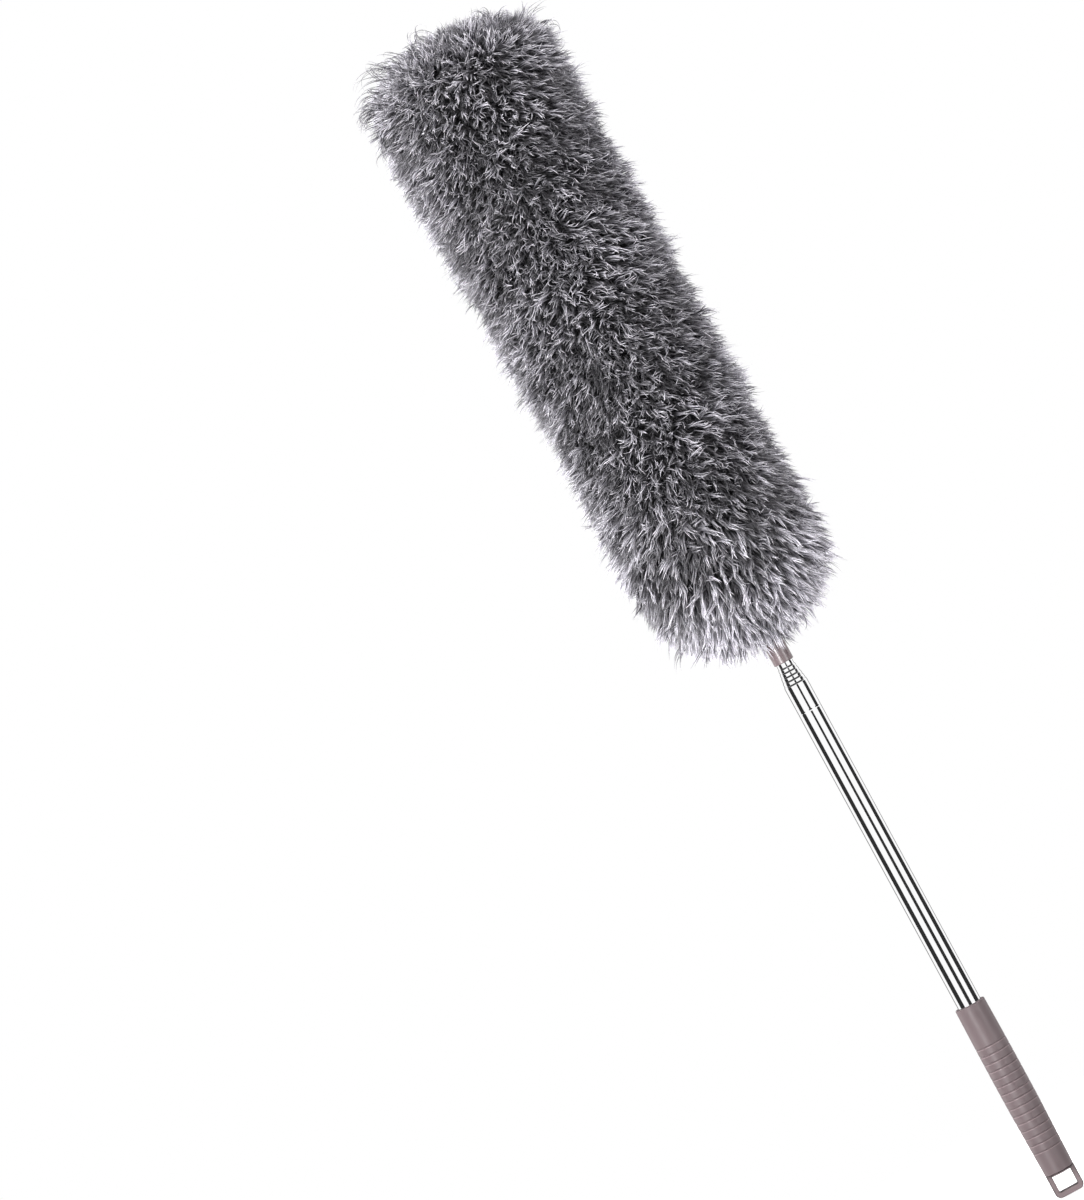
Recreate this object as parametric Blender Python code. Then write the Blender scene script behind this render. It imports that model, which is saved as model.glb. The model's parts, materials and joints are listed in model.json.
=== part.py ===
"""Telescopic feather duster: hanging loop, swivelling grip, six-section pole and bendable microfibre head.

Metres, +Z up along the pole. The origin is the middle of the hanging loop's flat end. The pole is drawn
pushed together and the head straight, which is every joint's zero.
"""

import math

import bmesh
import bpy

SIDES = 24                      # facets round the turned parts
PILE_SIDES = 32
WIRE_SIDES = 12

# Hanging loop: a bail cut from a round stem with a flange
LOOP_RADIUS = 0.0099
LOOP_DEPTH = 0.0070             # front to back
LOOP_BAR = 0.0036               # thickness of the end bar
LOOP_CORNER = 0.0030
LOOP_CORNER_STEPS = 4
LOOP_OPENING_WIDTH = 0.0130
FLANGE_BOTTOM = 0.0152
FLANGE_TOP = 0.0162
LOOP_STEM_RADIUS = 0.0050
LOOP_BARB_RADIUS = 0.0058       # snaps past the bush
LOOP_BARB_BOTTOM = 0.0229
LOOP_STEM_TOP = 0.0252

# Grip
GRIP_END = 0.0165
GRIP_MOUTH = 0.1360
GRIP_END_RADIUS = 0.0099
GRIP_MOUTH_RADIUS = 0.0102
GRIP_BELLY = 0.00055            # swell in the middle, over the straight taper
GRIP_EDGE = 0.0006
GROOVES = 15
FIRST_GROOVE = 0.0330
GROOVE_PITCH = 0.00536
GROOVE_DEPTH = 0.00045
GROOVE_HALF_WIDTH = 0.00050
GRIP_BORE = 0.0081              # running fit on the outer tube
GRIP_END_BORE = 0.0078
RECESS_RADIUS = 0.00905         # holds the flange of the pole's end plug
RECESS_BOTTOM = 0.0269
RECESS_TOP = 0.0294

BUSH_RADIUS = 0.0077
BUSH_BORE = 0.0052
BUSH_TOP = 0.0225

END_PLUG_FLANGE_RADIUS = 0.0089
END_PLUG_BOTTOM = 0.0272
END_PLUG_FLANGE_TOP = 0.0289
END_PLUG_TOP = 0.0410
PLUG_FIT = 0.00005              # radial gap between a plug and the tube it is pressed in

# Pole: the outer tube is section 1 and the thinnest is section 6
SECTIONS = 6
TUBE_RADIUS = 0.0080
TUBE_STEP = 0.00048             # radius lost from one section to the next
TUBE_WALL = 0.00028
TUBE_1_BOTTOM = 0.0292
TUBE_1_TOP = 0.3684
RIM_STEP = 0.0029               # each rim stands this far above the one outside it
RIM_LENGTH = 0.0010
RIM_CURL = 0.00012              # how far a rim and a rolled ring are turned inwards
RING_BELOW_RIM = 0.0197
RING_HALF_WIDTH = 0.0006
NECK_DEPTH = 0.00025            # the lower end is drawn in to take its friction sleeve
NECK_LENGTH = 0.0130
NECK_TAPER = 0.0010
SLEEVE_OFFSET = 0.0005          # from the tube's lower end to the friction sleeve
SLEEVE_LENGTH = 0.0120
SLEEVE_INNER_GAP = 0.00005
SLEEVE_OUTER_GAP = 0.00005
STOP_GAP = 0.0003               # left between a friction sleeve and its stop at full reach
SECTION_2_TRAVEL = 0.2740       # 1.259 m for all five sections together
TUBE_6_TOP = 0.3960

# Stud in the pole's tip
STUD_FLANGE_TOP = 0.3978
STUD_FLANGE_RADIUS = 0.00555
STUD_BOTTOM = 0.3840
STUD_RADIUS = 0.0039            # over the thread
STUD_TOP = 0.4100

# Head socket
SOCKET_BOTTOM = 0.3829
SOCKET_RADIUS = 0.0067
SOCKET_EDGE = 0.0004
SOCKET_BORE = 0.00568
SOCKET_THREAD_RADIUS = 0.0040
SOCKET_SHOULDER = 0.3981
SOCKET_THREAD_TOP = 0.4103
SOCKET_FLANGE_RADIUS = 0.0100
SOCKET_FLANGE_BOTTOM = 0.4120
SOCKET_FLANGE_TOP = 0.4145
SOCKET_STUB_RADIUS = 0.0045
SOCKET_STUB_TOP = 0.4320
WIRE_HOLE_RADIUS = 0.00165
WIRE_HOLE_BOTTOM = 0.4160

# Head
BEND_HEIGHTS = [0.480 + 0.068 * bend for bend in range(5)]
BEND_GAP = 0.0006               # half the space between two segments on the axis
BEND_CLEARANCE = math.radians(15.5)     # the foam's ends slope back, for 30 degrees at each bend
WIRE_RADIUS = 0.0016
WIRE_BOTTOM = 0.4163
WIRE_TOP = 0.8000
CAP_RADIUS = 0.0035
CAP_BOTTOM = 0.7940
CAP_TOP = 0.8050
CAP_HOLE_RADIUS = 0.0017
CAP_HOLE_TOP = 0.8003
FOAM_BORE = 0.0019
FOAM_RADIUS = 0.0260
FOAM_BOTTOM = 0.4148
FOAM_BOTTOM_RADIUS = 0.0100
FOAM_SHOULDER = 0.4300          # where the rounded lower end reaches full radius
FOAM_STUB_BORE = 0.0048
FOAM_STUB_TOP = 0.4323
FOAM_CAP_BORE = 0.0039
FOAM_CAP_BOTTOM = 0.7935
FOAM_CAP_TOP = 0.8055
FOAM_TIP_SHOULDER = 0.7970
FOAM_TOP = 0.8150
PILE_GAP = 0.0003               # round the foam, and on each side of a bend
PILE_RADIUS = 0.0650
PILE_BOTTOM = 0.3960
PILE_MOUTH_RADIUS = 0.0104
PILE_BASE_HEIGHT = 0.0640       # height of the rounded base
PILE_BASE_POWER = 2.1
PILE_TOP = 0.8410
PILE_TIP_HEIGHT = 0.0320        # height of the blunt tip
PILE_TIP_POWER = 2.5
ROUND_STEPS = 6
HEM_RADIUS = 0.0100
HEM_BORE = 0.0070
HEM_BOTTOM = 0.3985
HEM_TOP = 0.4045

AXIS = (0.0, 0.0, 1.0)


# ---------------------------------------------------------------- scene and materials

def clear_scene():
    """Remove every object already in the file."""
    for item in list(bpy.data.objects):
        bpy.data.objects.remove(item, do_unlink=True)


def material(name, colour, roughness, metallic):
    """A Principled material with one colour."""
    made = bpy.data.materials.new(name)
    made.use_nodes = True
    shader = made.node_tree.nodes["Principled BSDF"]
    shader.inputs["Base Color"].default_value = (*colour, 1.0)
    shader.inputs["Roughness"].default_value = roughness
    shader.inputs["Metallic"].default_value = metallic
    made.diffuse_color = (*colour, 1.0)
    return made


def body_frame(name, height, parent=None):
    """An empty on the pole's axis that carries the pieces of one moving body."""
    frame = bpy.data.objects.new(name, None)
    frame.empty_display_size = 0.02
    bpy.context.collection.objects.link(frame)
    frame.parent = parent
    below = frame_height(parent) if parent else 0.0
    frame.location = (0.0, 0.0, height - below)
    return frame


def frame_height(frame):
    """Height of an empty above the origin, through its parents."""
    height = 0.0
    while frame:
        height += frame.location.z
        frame = frame.parent
    return height


def add_piece(name, shape, finish, frame):
    """Make an object of a bmesh drawn in the duster's own frame, and hang it on its body's empty."""
    bmesh.ops.translate(shape, verts=shape.verts, vec=(0.0, 0.0, -frame_height(frame)))
    mesh = bpy.data.meshes.new(name)
    shape.to_mesh(mesh)
    shape.free()
    mesh.materials.append(finish)
    mesh.shade_smooth()
    mesh.set_sharp_from_angle(angle=math.radians(35))
    piece = bpy.data.objects.new(name, mesh)
    bpy.context.collection.objects.link(piece)
    piece.parent = frame
    return piece


# ---------------------------------------------------------------- turned shapes

def turned(outline, sides=SIDES):
    """Turn a closed outline of (radius, height) points about the pole's axis."""
    shape = bmesh.new()
    corners = [shape.verts.new((radius, 0.0, height)) for radius, height in outline]
    edges = [shape.edges.new(pair) for pair in zip(corners, corners[1:])]
    if outline[0][0] > 0.0:
        edges.append(shape.edges.new((corners[-1], corners[0])))
    bmesh.ops.spin(
        shape, geom=corners + edges, cent=(0.0, 0.0, 0.0), axis=AXIS,
        angle=math.tau, steps=sides, use_merge=True,
    )
    bmesh.ops.remove_doubles(shape, verts=shape.verts, dist=1e-6)
    bmesh.ops.recalc_face_normals(shape, faces=shape.faces)
    return shape


def split_ring(outline, sides=SIDES):
    """Turn a closed outline through all facets but one, which leaves the ring's slot."""
    shape = bmesh.new()
    corners = [shape.verts.new((radius, 0.0, height)) for radius, height in outline]
    edges = [shape.edges.new(pair) for pair in zip(corners, corners[1:] + corners[:1])]
    bmesh.ops.spin(
        shape, geom=corners + edges, cent=(0.0, 0.0, 0.0), axis=AXIS,
        angle=math.tau * (sides - 1) / sides, steps=sides - 1, use_merge=False,
    )
    rims = [edge for edge in shape.edges if edge.is_boundary]
    bmesh.ops.holes_fill(shape, edges=rims)
    bmesh.ops.recalc_face_normals(shape, faces=shape.faces)
    return shape


def ring_outline(inner, outer, bottom, top):
    """Outline of a plain ring."""
    return [(inner, bottom), (outer, bottom), (outer, top), (inner, top)]


def rounded(radius, height, power, steps):
    """Points of a rounded end, from its pole on the axis out to full radius: (radius, depth) pairs."""
    points = []
    for step in range(steps + 1):
        angle = step * math.pi / 2.0 / steps
        out = radius * math.sin(angle) ** (2.0 / power)
        depth = height * (1.0 - max(math.cos(angle), 0.0) ** (2.0 / power))
        points.append((out, depth))
    points[-1] = (radius, height)
    return points


# ---------------------------------------------------------------- handle

def cutter(name, low, high, frame):
    """A box that cuts a piece and is not part of the object."""
    shape = bmesh.new()
    bmesh.ops.create_cube(shape, size=1.0)
    size = [top - bottom for bottom, top in zip(low, high)]
    middle = [(top + bottom) / 2.0 for bottom, top in zip(low, high)]
    middle[2] -= frame_height(frame)
    bmesh.ops.scale(shape, verts=shape.verts, vec=size)
    bmesh.ops.translate(shape, verts=shape.verts, vec=middle)
    mesh = bpy.data.meshes.new(name)
    shape.to_mesh(mesh)
    shape.free()
    box = bpy.data.objects.new(name, mesh)
    box.hide_render = True
    box.display_type = "WIRE"
    box.parent = frame
    bpy.context.collection.objects.link(box)
    return box


def make_hanging_loop(finish, frame):
    """The bail: a flanged round stem, flattened front and back and opened through."""
    corner = []
    for step in range(LOOP_CORNER_STEPS + 1):
        angle = step * math.pi / 2.0 / LOOP_CORNER_STEPS
        out = LOOP_RADIUS - LOOP_CORNER * (1.0 - math.sin(angle))
        corner.append((out, LOOP_CORNER * (1.0 - math.cos(angle))))
    outline = [(0.0, 0.0), *corner]
    outline += [(LOOP_RADIUS, FLANGE_TOP), (LOOP_STEM_RADIUS, FLANGE_TOP)]
    outline += [(LOOP_STEM_RADIUS, LOOP_BARB_BOTTOM), (LOOP_BARB_RADIUS, LOOP_BARB_BOTTOM)]
    outline += [(LOOP_STEM_RADIUS, LOOP_STEM_TOP), (0.0, LOOP_STEM_TOP)]
    loop = add_piece("hanging_loop", turned(outline), finish, frame)

    beyond = LOOP_RADIUS + 0.002
    half_open = LOOP_OPENING_WIDTH / 2.0
    cutters = [cutter("loop_opening_cutter", (-half_open, -beyond, LOOP_BAR),
                      (half_open, beyond, FLANGE_BOTTOM), frame)]
    for side, name in ((-1.0, "loop_front_cutter"), (1.0, "loop_back_cutter")):
        near, far = sorted((side * LOOP_DEPTH / 2.0, side * beyond))
        cutters.append(cutter(name, (-beyond, near, -0.002), (beyond, far, FLANGE_BOTTOM), frame))
    for box in cutters:
        cut = loop.modifiers.new(box.name, "BOOLEAN")
        cut.operation = "DIFFERENCE"
        cut.solver = "EXACT"
        cut.object = box


def grip_radius(height):
    """Outer radius of the grip: a straight taper with a shallow belly."""
    along = (height - GRIP_END) / (GRIP_MOUTH - GRIP_END)
    straight = GRIP_END_RADIUS + (GRIP_MOUTH_RADIUS - GRIP_END_RADIUS) * along
    return straight + GRIP_BELLY * math.sin(math.pi * along)


def make_grip(finish, frame):
    """The hand grip, with its ring grooves, the recess for the plug's flange and its bores."""
    low_edge = GRIP_END + GRIP_EDGE
    top_edge = GRIP_MOUTH - GRIP_EDGE
    outline = [(grip_radius(GRIP_END) - GRIP_EDGE, GRIP_END), (grip_radius(low_edge), low_edge)]
    for groove in range(GROOVES):
        height = FIRST_GROOVE + groove * GROOVE_PITCH
        below = height - GROOVE_HALF_WIDTH
        above = height + GROOVE_HALF_WIDTH
        outline.append((grip_radius(below), below))
        outline.append((grip_radius(height) - GROOVE_DEPTH, height))
        outline.append((grip_radius(above), above))
    outline += [(grip_radius(top_edge), top_edge), (grip_radius(GRIP_MOUTH) - GRIP_EDGE, GRIP_MOUTH)]
    outline += [(GRIP_BORE, GRIP_MOUTH), (GRIP_BORE, RECESS_TOP)]
    outline += [(RECESS_RADIUS, RECESS_TOP), (RECESS_RADIUS, RECESS_BOTTOM)]
    outline += [(GRIP_END_BORE, RECESS_BOTTOM), (GRIP_END_BORE, GRIP_END)]
    add_piece("grip", turned(outline), finish, frame)


def make_grip_end_bush(finish, frame):
    """Ring in the grip's end, which the loop's stem turns in."""
    outline = ring_outline(BUSH_BORE, BUSH_RADIUS, GRIP_END, BUSH_TOP)
    add_piece("grip_end_bush", turned(outline), finish, frame)


# ---------------------------------------------------------------- pole

def tube_radius(section):
    """Outer radius of a section, 1 to 6."""
    return TUBE_RADIUS - TUBE_STEP * (section - 1)


def tube_top(section):
    """Height of a section's rim."""
    return TUBE_6_TOP if section == SECTIONS else TUBE_1_TOP + RIM_STEP * (section - 1)


def ring_height(section):
    """Height of the rolled ring that stops the section inside this one."""
    return tube_top(section) - RING_BELOW_RIM


def tube_bottom(section):
    """Height of a section's lower end, each standing on the shoulder of the neck outside it."""
    if section == 1:
        return TUBE_1_BOTTOM
    stop = ring_height(1) - RING_HALF_WIDTH - STOP_GAP
    second = stop - SECTION_2_TRAVEL - SLEEVE_OFFSET - SLEEVE_LENGTH
    return second + (NECK_LENGTH + NECK_TAPER) * (section - 2)


def tube_wall_line(section):
    """(inset, height) points up the outer side of a tube; the inner side follows it."""
    bottom = tube_bottom(section)
    top = tube_top(section)
    line = [(0.0, bottom)]
    if section > 1:
        shoulder = bottom + NECK_LENGTH
        line = [(NECK_DEPTH, bottom), (NECK_DEPTH, shoulder), (0.0, shoulder + NECK_TAPER)]
    if section < SECTIONS:
        ring = ring_height(section)
        line += [(0.0, ring - RING_HALF_WIDTH), (RIM_CURL, ring), (0.0, ring + RING_HALF_WIDTH)]
        line += [(0.0, top - RIM_LENGTH), (RIM_CURL, top)]
    else:
        line.append((0.0, top))
    return line


def make_tube(section, finish, frame):
    """One steel tube, with its neck, its rolled ring and its curled rim."""
    radius = tube_radius(section)
    line = tube_wall_line(section)
    outside = [(radius - inset, height) for inset, height in line]
    inside = [(radius - TUBE_WALL - inset, height) for inset, height in reversed(line)]
    add_piece(f"tube_{section}", turned(outside + inside), finish, frame)


def make_friction_sleeve(section, finish, frame):
    """The split sleeve on a tube's neck, which rubs on the bore outside it."""
    inner = tube_radius(section) - NECK_DEPTH + SLEEVE_INNER_GAP
    outer = tube_radius(section - 1) - TUBE_WALL - SLEEVE_OUTER_GAP
    bottom = tube_bottom(section) + SLEEVE_OFFSET
    outline = ring_outline(inner, outer, bottom, bottom + SLEEVE_LENGTH)
    add_piece(f"friction_sleeve_{section}", split_ring(outline), finish, frame)


def make_pole_end_plug(finish, frame):
    """Flanged plug in the outer tube's lower end."""
    stem = tube_radius(1) - TUBE_WALL - PLUG_FIT
    outline = [(0.0, END_PLUG_BOTTOM), (END_PLUG_FLANGE_RADIUS, END_PLUG_BOTTOM)]
    outline += [(END_PLUG_FLANGE_RADIUS, END_PLUG_FLANGE_TOP), (stem, END_PLUG_FLANGE_TOP)]
    outline += [(stem, END_PLUG_TOP), (0.0, END_PLUG_TOP)]
    add_piece("pole_end_plug", turned(outline), finish, frame)


def make_pole_tip_stud(finish, frame):
    """Plug in the thinnest tube's upper end, with the stud that the head screws on to."""
    stem = tube_radius(SECTIONS) - TUBE_WALL - PLUG_FIT
    flange_bottom = TUBE_6_TOP + PILE_GAP
    outline = [(0.0, STUD_BOTTOM), (stem, STUD_BOTTOM), (stem, flange_bottom)]
    outline += [(STUD_FLANGE_RADIUS, flange_bottom), (STUD_FLANGE_RADIUS, STUD_FLANGE_TOP)]
    outline += [(STUD_RADIUS, STUD_FLANGE_TOP), (STUD_RADIUS, STUD_TOP), (0.0, STUD_TOP)]
    add_piece("pole_tip_stud", turned(outline), finish, frame)


# ---------------------------------------------------------------- head

def make_head_socket(finish, frame):
    """Collar over the pole's tip, with the flange and the stub that hold the foam and the wire."""
    outline = [(SOCKET_RADIUS - SOCKET_EDGE, SOCKET_BOTTOM), (SOCKET_RADIUS, SOCKET_BOTTOM + SOCKET_EDGE)]
    outline += [(SOCKET_RADIUS, SOCKET_FLANGE_BOTTOM), (SOCKET_FLANGE_RADIUS, SOCKET_FLANGE_BOTTOM)]
    outline += [(SOCKET_FLANGE_RADIUS, SOCKET_FLANGE_TOP), (SOCKET_STUB_RADIUS, SOCKET_FLANGE_TOP)]
    outline += [(SOCKET_STUB_RADIUS, SOCKET_STUB_TOP), (WIRE_HOLE_RADIUS, SOCKET_STUB_TOP)]
    outline += [(WIRE_HOLE_RADIUS, WIRE_HOLE_BOTTOM), (0.0, WIRE_HOLE_BOTTOM)]
    below = [(0.0, SOCKET_THREAD_TOP), (SOCKET_THREAD_RADIUS, SOCKET_THREAD_TOP)]
    below += [(SOCKET_THREAD_RADIUS, SOCKET_SHOULDER), (SOCKET_BORE, SOCKET_SHOULDER)]
    below += [(SOCKET_BORE, SOCKET_BOTTOM)]
    add_piece("head_socket", turned(below + outline), finish, frame)


def slope(height, radius, side):
    """Height of the foam's sloping end at a radius: side +1 above the bend, -1 below it."""
    return height + side * (BEND_GAP + radius * math.tan(BEND_CLEARANCE))


def make_core_wires(finish, frames):
    """The bendable wire, parted at each bend."""
    ends = [WIRE_BOTTOM, *BEND_HEIGHTS, WIRE_TOP]
    last = len(frames) - 1
    for index, frame in enumerate(frames):
        bottom = ends[index] + (BEND_GAP if index > 0 else 0.0)
        top = ends[index + 1] - (BEND_GAP if index < last else 0.0)
        outline = [(0.0, bottom), (WIRE_RADIUS, bottom), (WIRE_RADIUS, top), (0.0, top)]
        add_piece(f"core_wire_{index + 1}", turned(outline, WIRE_SIDES), finish, frame)


def make_core_end_cap(finish, frame):
    """Cap over the wire's end."""
    outline = [(CAP_HOLE_RADIUS, CAP_BOTTOM), (CAP_RADIUS, CAP_BOTTOM), (CAP_RADIUS, CAP_TOP)]
    outline = [(0.0, CAP_HOLE_TOP), (CAP_HOLE_RADIUS, CAP_HOLE_TOP), *outline, (0.0, CAP_TOP)]
    add_piece("core_end_cap", turned(outline, WIRE_SIDES), finish, frame)


def lower_shoulder(gap):
    """Rounded lower end of the foam, or of the space round it: out from the socket and up."""
    reach = FOAM_RADIUS - FOAM_BOTTOM_RADIUS
    rise = FOAM_SHOULDER - FOAM_BOTTOM
    points = rounded(reach, rise, 2.0, ROUND_STEPS)
    return [(FOAM_BOTTOM_RADIUS + out + gap, FOAM_BOTTOM + up) for out, up in points]


def tip_dome(gap):
    """Rounded upper end of the foam, or of the space round it: from full radius in to the axis."""
    points = rounded(FOAM_RADIUS + gap, FOAM_TOP - FOAM_TIP_SHOULDER + gap, 2.0, ROUND_STEPS)
    return [(out, FOAM_TOP + gap - down) for out, down in reversed(points)]


def make_core_foam(finish, frames):
    """The foam round the wire, parted at each bend with sloping ends."""
    last = len(frames) - 1
    for index, frame in enumerate(frames):
        if index == 0:
            start = [(FOAM_BORE, FOAM_STUB_TOP), (FOAM_STUB_BORE, FOAM_STUB_TOP)]
            start += [(FOAM_STUB_BORE, FOAM_BOTTOM), *lower_shoulder(0.0)]
        else:
            below = BEND_HEIGHTS[index - 1]
            start = [(FOAM_BORE, slope(below, FOAM_BORE, 1)), (FOAM_RADIUS, slope(below, FOAM_RADIUS, 1))]
        if index == last:
            bore = [(0.0, FOAM_CAP_TOP), (FOAM_CAP_BORE, FOAM_CAP_TOP)]
            bore += [(FOAM_CAP_BORE, FOAM_CAP_BOTTOM), (FOAM_BORE, FOAM_CAP_BOTTOM)]
            outline = bore + start + tip_dome(0.0)
        else:
            above = BEND_HEIGHTS[index]
            end = [(FOAM_RADIUS, slope(above, FOAM_RADIUS, -1)), (FOAM_BORE, slope(above, FOAM_BORE, -1))]
            outline = start + end
        add_piece(f"core_foam_{index + 1}", turned(outline), finish, frame)


def pile_base():
    """Rounded lower end of the pile, outwards from the sleeve's mouth."""
    points = rounded(PILE_RADIUS, PILE_BASE_HEIGHT, PILE_BASE_POWER, ROUND_STEPS)
    inside = [(PILE_MOUTH_RADIUS, PILE_BOTTOM)]
    return inside + [(out, PILE_BOTTOM + up) for out, up in points if out > 1.2 * PILE_MOUTH_RADIUS]


def pile_tip():
    """Blunt upper end of the pile, from full radius in to the axis."""
    points = rounded(PILE_RADIUS, PILE_TIP_HEIGHT, PILE_TIP_POWER, ROUND_STEPS)
    return [(out, PILE_TOP - down) for out, down in reversed(points)]


def make_pile_sleeve(finish, frames):
    """The microfibre sleeve with its pile, parted straight across at each bend, where soft pile gives."""
    bore = FOAM_RADIUS + PILE_GAP
    last = len(frames) - 1
    for index, frame in enumerate(frames):
        if index == 0:
            start = [*reversed(lower_shoulder(PILE_GAP)), *pile_base()]
        else:
            below = BEND_HEIGHTS[index - 1] + PILE_GAP
            start = [(bore, below), (PILE_RADIUS, below)]
        if index == last:
            outline = [*reversed(tip_dome(PILE_GAP)), *start, *pile_tip()]
        else:
            above = BEND_HEIGHTS[index] - PILE_GAP
            outline = [*start, (PILE_RADIUS, above), (bore, above)]
        add_piece(f"pile_sleeve_{index + 1}", turned(outline, PILE_SIDES), finish, frame)


def make_sleeve_hem(finish, frame):
    """Elastic hem of the sleeve's mouth, round the socket."""
    outline = ring_outline(HEM_BORE, HEM_RADIUS, HEM_BOTTOM, HEM_TOP)
    add_piece("sleeve_hem", turned(outline), finish, frame)


# ---------------------------------------------------------------- assembly

def main():
    clear_scene()
    mauve = material("mauve_plastic", (0.30, 0.23, 0.24), 0.45, 0.0)
    pink_mauve = material("socket_plastic", (0.34, 0.24, 0.25), 0.35, 0.0)
    steel = material("polished_steel", (0.80, 0.80, 0.81), 0.08, 1.0)
    nylon = material("nylon", (0.75, 0.74, 0.70), 0.5, 0.0)
    wire = material("core_wire", (0.45, 0.44, 0.42), 0.35, 1.0)
    foam = material("foam", (0.62, 0.60, 0.58), 0.9, 0.0)
    rubber = material("rubber", (0.05, 0.05, 0.05), 0.7, 0.0)
    cloth = material("hem_cloth", (0.16, 0.155, 0.17), 0.9, 0.0)
    pile = material("microfibre_pile", (0.19, 0.185, 0.205), 0.85, 0.0)

    handle = body_frame("handle_body", GRIP_END)
    loop = body_frame("loop_body", FLANGE_TOP, handle)
    sections = [body_frame("section_1_body", TUBE_1_BOTTOM, handle)]
    for section in range(2, SECTIONS + 1):
        sections.append(body_frame(f"section_{section}_body", tube_bottom(section), sections[-1]))
    segments = [sections[-1]]
    for index, height in enumerate(BEND_HEIGHTS):
        segments.append(body_frame(f"head_{index + 2}_body", height, segments[-1]))

    make_hanging_loop(mauve, loop)
    make_grip(mauve, handle)
    make_grip_end_bush(nylon, handle)
    make_pole_end_plug(nylon, sections[0])
    for section, frame in enumerate(sections, start=1):
        make_tube(section, steel, frame)
        if section > 1:
            make_friction_sleeve(section, nylon, frame)
    make_pole_tip_stud(nylon, sections[-1])
    make_head_socket(pink_mauve, sections[-1])
    make_core_wires(wire, segments)
    make_core_end_cap(rubber, segments[-1])
    make_core_foam(foam, segments)
    make_pile_sleeve(pile, segments)
    make_sleeve_hem(cloth, sections[-1])


main()
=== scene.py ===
# Looks of the telescopic feather duster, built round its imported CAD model.
# Metres, in the frame's own axes: +Z up the pole, and the origin in the hanging loop's flat end.

import json
import math
from types import SimpleNamespace as Kind

import bmesh
import bpy
import numpy as np
from mathutils import Matrix, Vector


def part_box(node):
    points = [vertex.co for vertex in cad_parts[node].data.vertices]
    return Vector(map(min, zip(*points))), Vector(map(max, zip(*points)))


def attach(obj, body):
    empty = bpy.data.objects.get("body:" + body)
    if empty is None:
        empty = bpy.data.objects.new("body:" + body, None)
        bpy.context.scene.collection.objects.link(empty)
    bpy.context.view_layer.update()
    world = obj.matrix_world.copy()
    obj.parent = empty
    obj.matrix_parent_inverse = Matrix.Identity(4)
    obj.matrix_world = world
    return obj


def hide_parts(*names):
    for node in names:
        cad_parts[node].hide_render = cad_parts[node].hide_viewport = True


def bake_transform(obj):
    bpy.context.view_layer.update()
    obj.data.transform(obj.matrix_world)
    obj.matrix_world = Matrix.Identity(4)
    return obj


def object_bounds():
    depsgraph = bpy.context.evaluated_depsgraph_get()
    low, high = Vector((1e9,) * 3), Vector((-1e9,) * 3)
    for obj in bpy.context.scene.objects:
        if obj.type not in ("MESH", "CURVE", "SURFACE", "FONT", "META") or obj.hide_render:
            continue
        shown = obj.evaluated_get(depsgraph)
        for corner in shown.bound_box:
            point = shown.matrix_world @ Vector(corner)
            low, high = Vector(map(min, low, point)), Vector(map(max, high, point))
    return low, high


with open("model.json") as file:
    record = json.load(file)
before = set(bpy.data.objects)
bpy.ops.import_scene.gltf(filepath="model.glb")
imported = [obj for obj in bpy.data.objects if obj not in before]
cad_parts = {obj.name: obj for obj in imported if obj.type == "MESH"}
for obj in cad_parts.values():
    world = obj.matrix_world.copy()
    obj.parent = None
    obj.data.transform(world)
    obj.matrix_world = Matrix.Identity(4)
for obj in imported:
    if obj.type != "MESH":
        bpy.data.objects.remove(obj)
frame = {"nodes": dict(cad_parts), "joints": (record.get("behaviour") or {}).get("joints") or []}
CAD_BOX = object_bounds()

MM = 0.001
ROUND_SIDES = 128
SUPPORT = 0.12 * MM  # how far in the loops lie that keep a long stretch's shading flat

# Grip and loop
GRIP_LOW, GRIP_HIGH = (corner.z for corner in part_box("grip"))
GRIP_END_RADIUS = 9.9 * MM
GRIP_MOUTH_RADIUS = 10.2 * MM
GRIP_BELLY = 0.55 * MM
GRIP_EDGE = 0.6 * MM
GRIP_CHAMFER = 0.3 * MM
GRIP_BORE = 8.1 * MM
GRIP_END_BORE = 7.8 * MM
GROOVES = 15
FIRST_GROOVE = 33.0 * MM
GROOVE_PITCH = 5.36 * MM
GROOVE_DEPTH = 0.36 * MM
GROOVE_HALF_WIDTH = 0.45 * MM
LIP_BELOW = 0.75 * MM  # from a groove's middle down to the middle of its lip, which gets a painted highlight
LIP_HALF_WIDTH = 0.26 * MM
# how much lighter the painted highlight makes the lips
LIP_PAINTED_HIGHLIGHT = 0.62
LIP_POLISH = 0.14
RECESS = (26.9 * MM, 29.4 * MM)  # heights of the recess for the pole's end plug
RECESS_RADIUS = 9.05 * MM

LOOP_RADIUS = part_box("hanging_loop")[1].x
LOOP_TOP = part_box("hanging_loop")[1].z
LOOP_HALF_DEPTH = 3.5 * MM
LOOP_BAR = 3.6 * MM
LOOP_CORNER = 3.0 * MM
LOOP_OPENING_HALF_WIDTH = 6.5 * MM
LOOP_FLANGE = (15.2 * MM, 16.2 * MM)  # its lower side, and its upper side at the seam with the grip
LOOP_STEM_RADIUS = 5.0 * MM
LOOP_BARB = (22.9 * MM, 5.8 * MM)  # height and radius of the snap barb
LOOP_VOXEL = 0.2 * MM
LOOP_SOFTENING = 22  # rounds of smoothing, which round its edges off by about 0.6 mm
LOOP_EDGE_SHADE = 0.42
LOOP_EDGE_FACING = (0.72, 0.995)  # the normal's share towards front or back, from full shade to none

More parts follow.
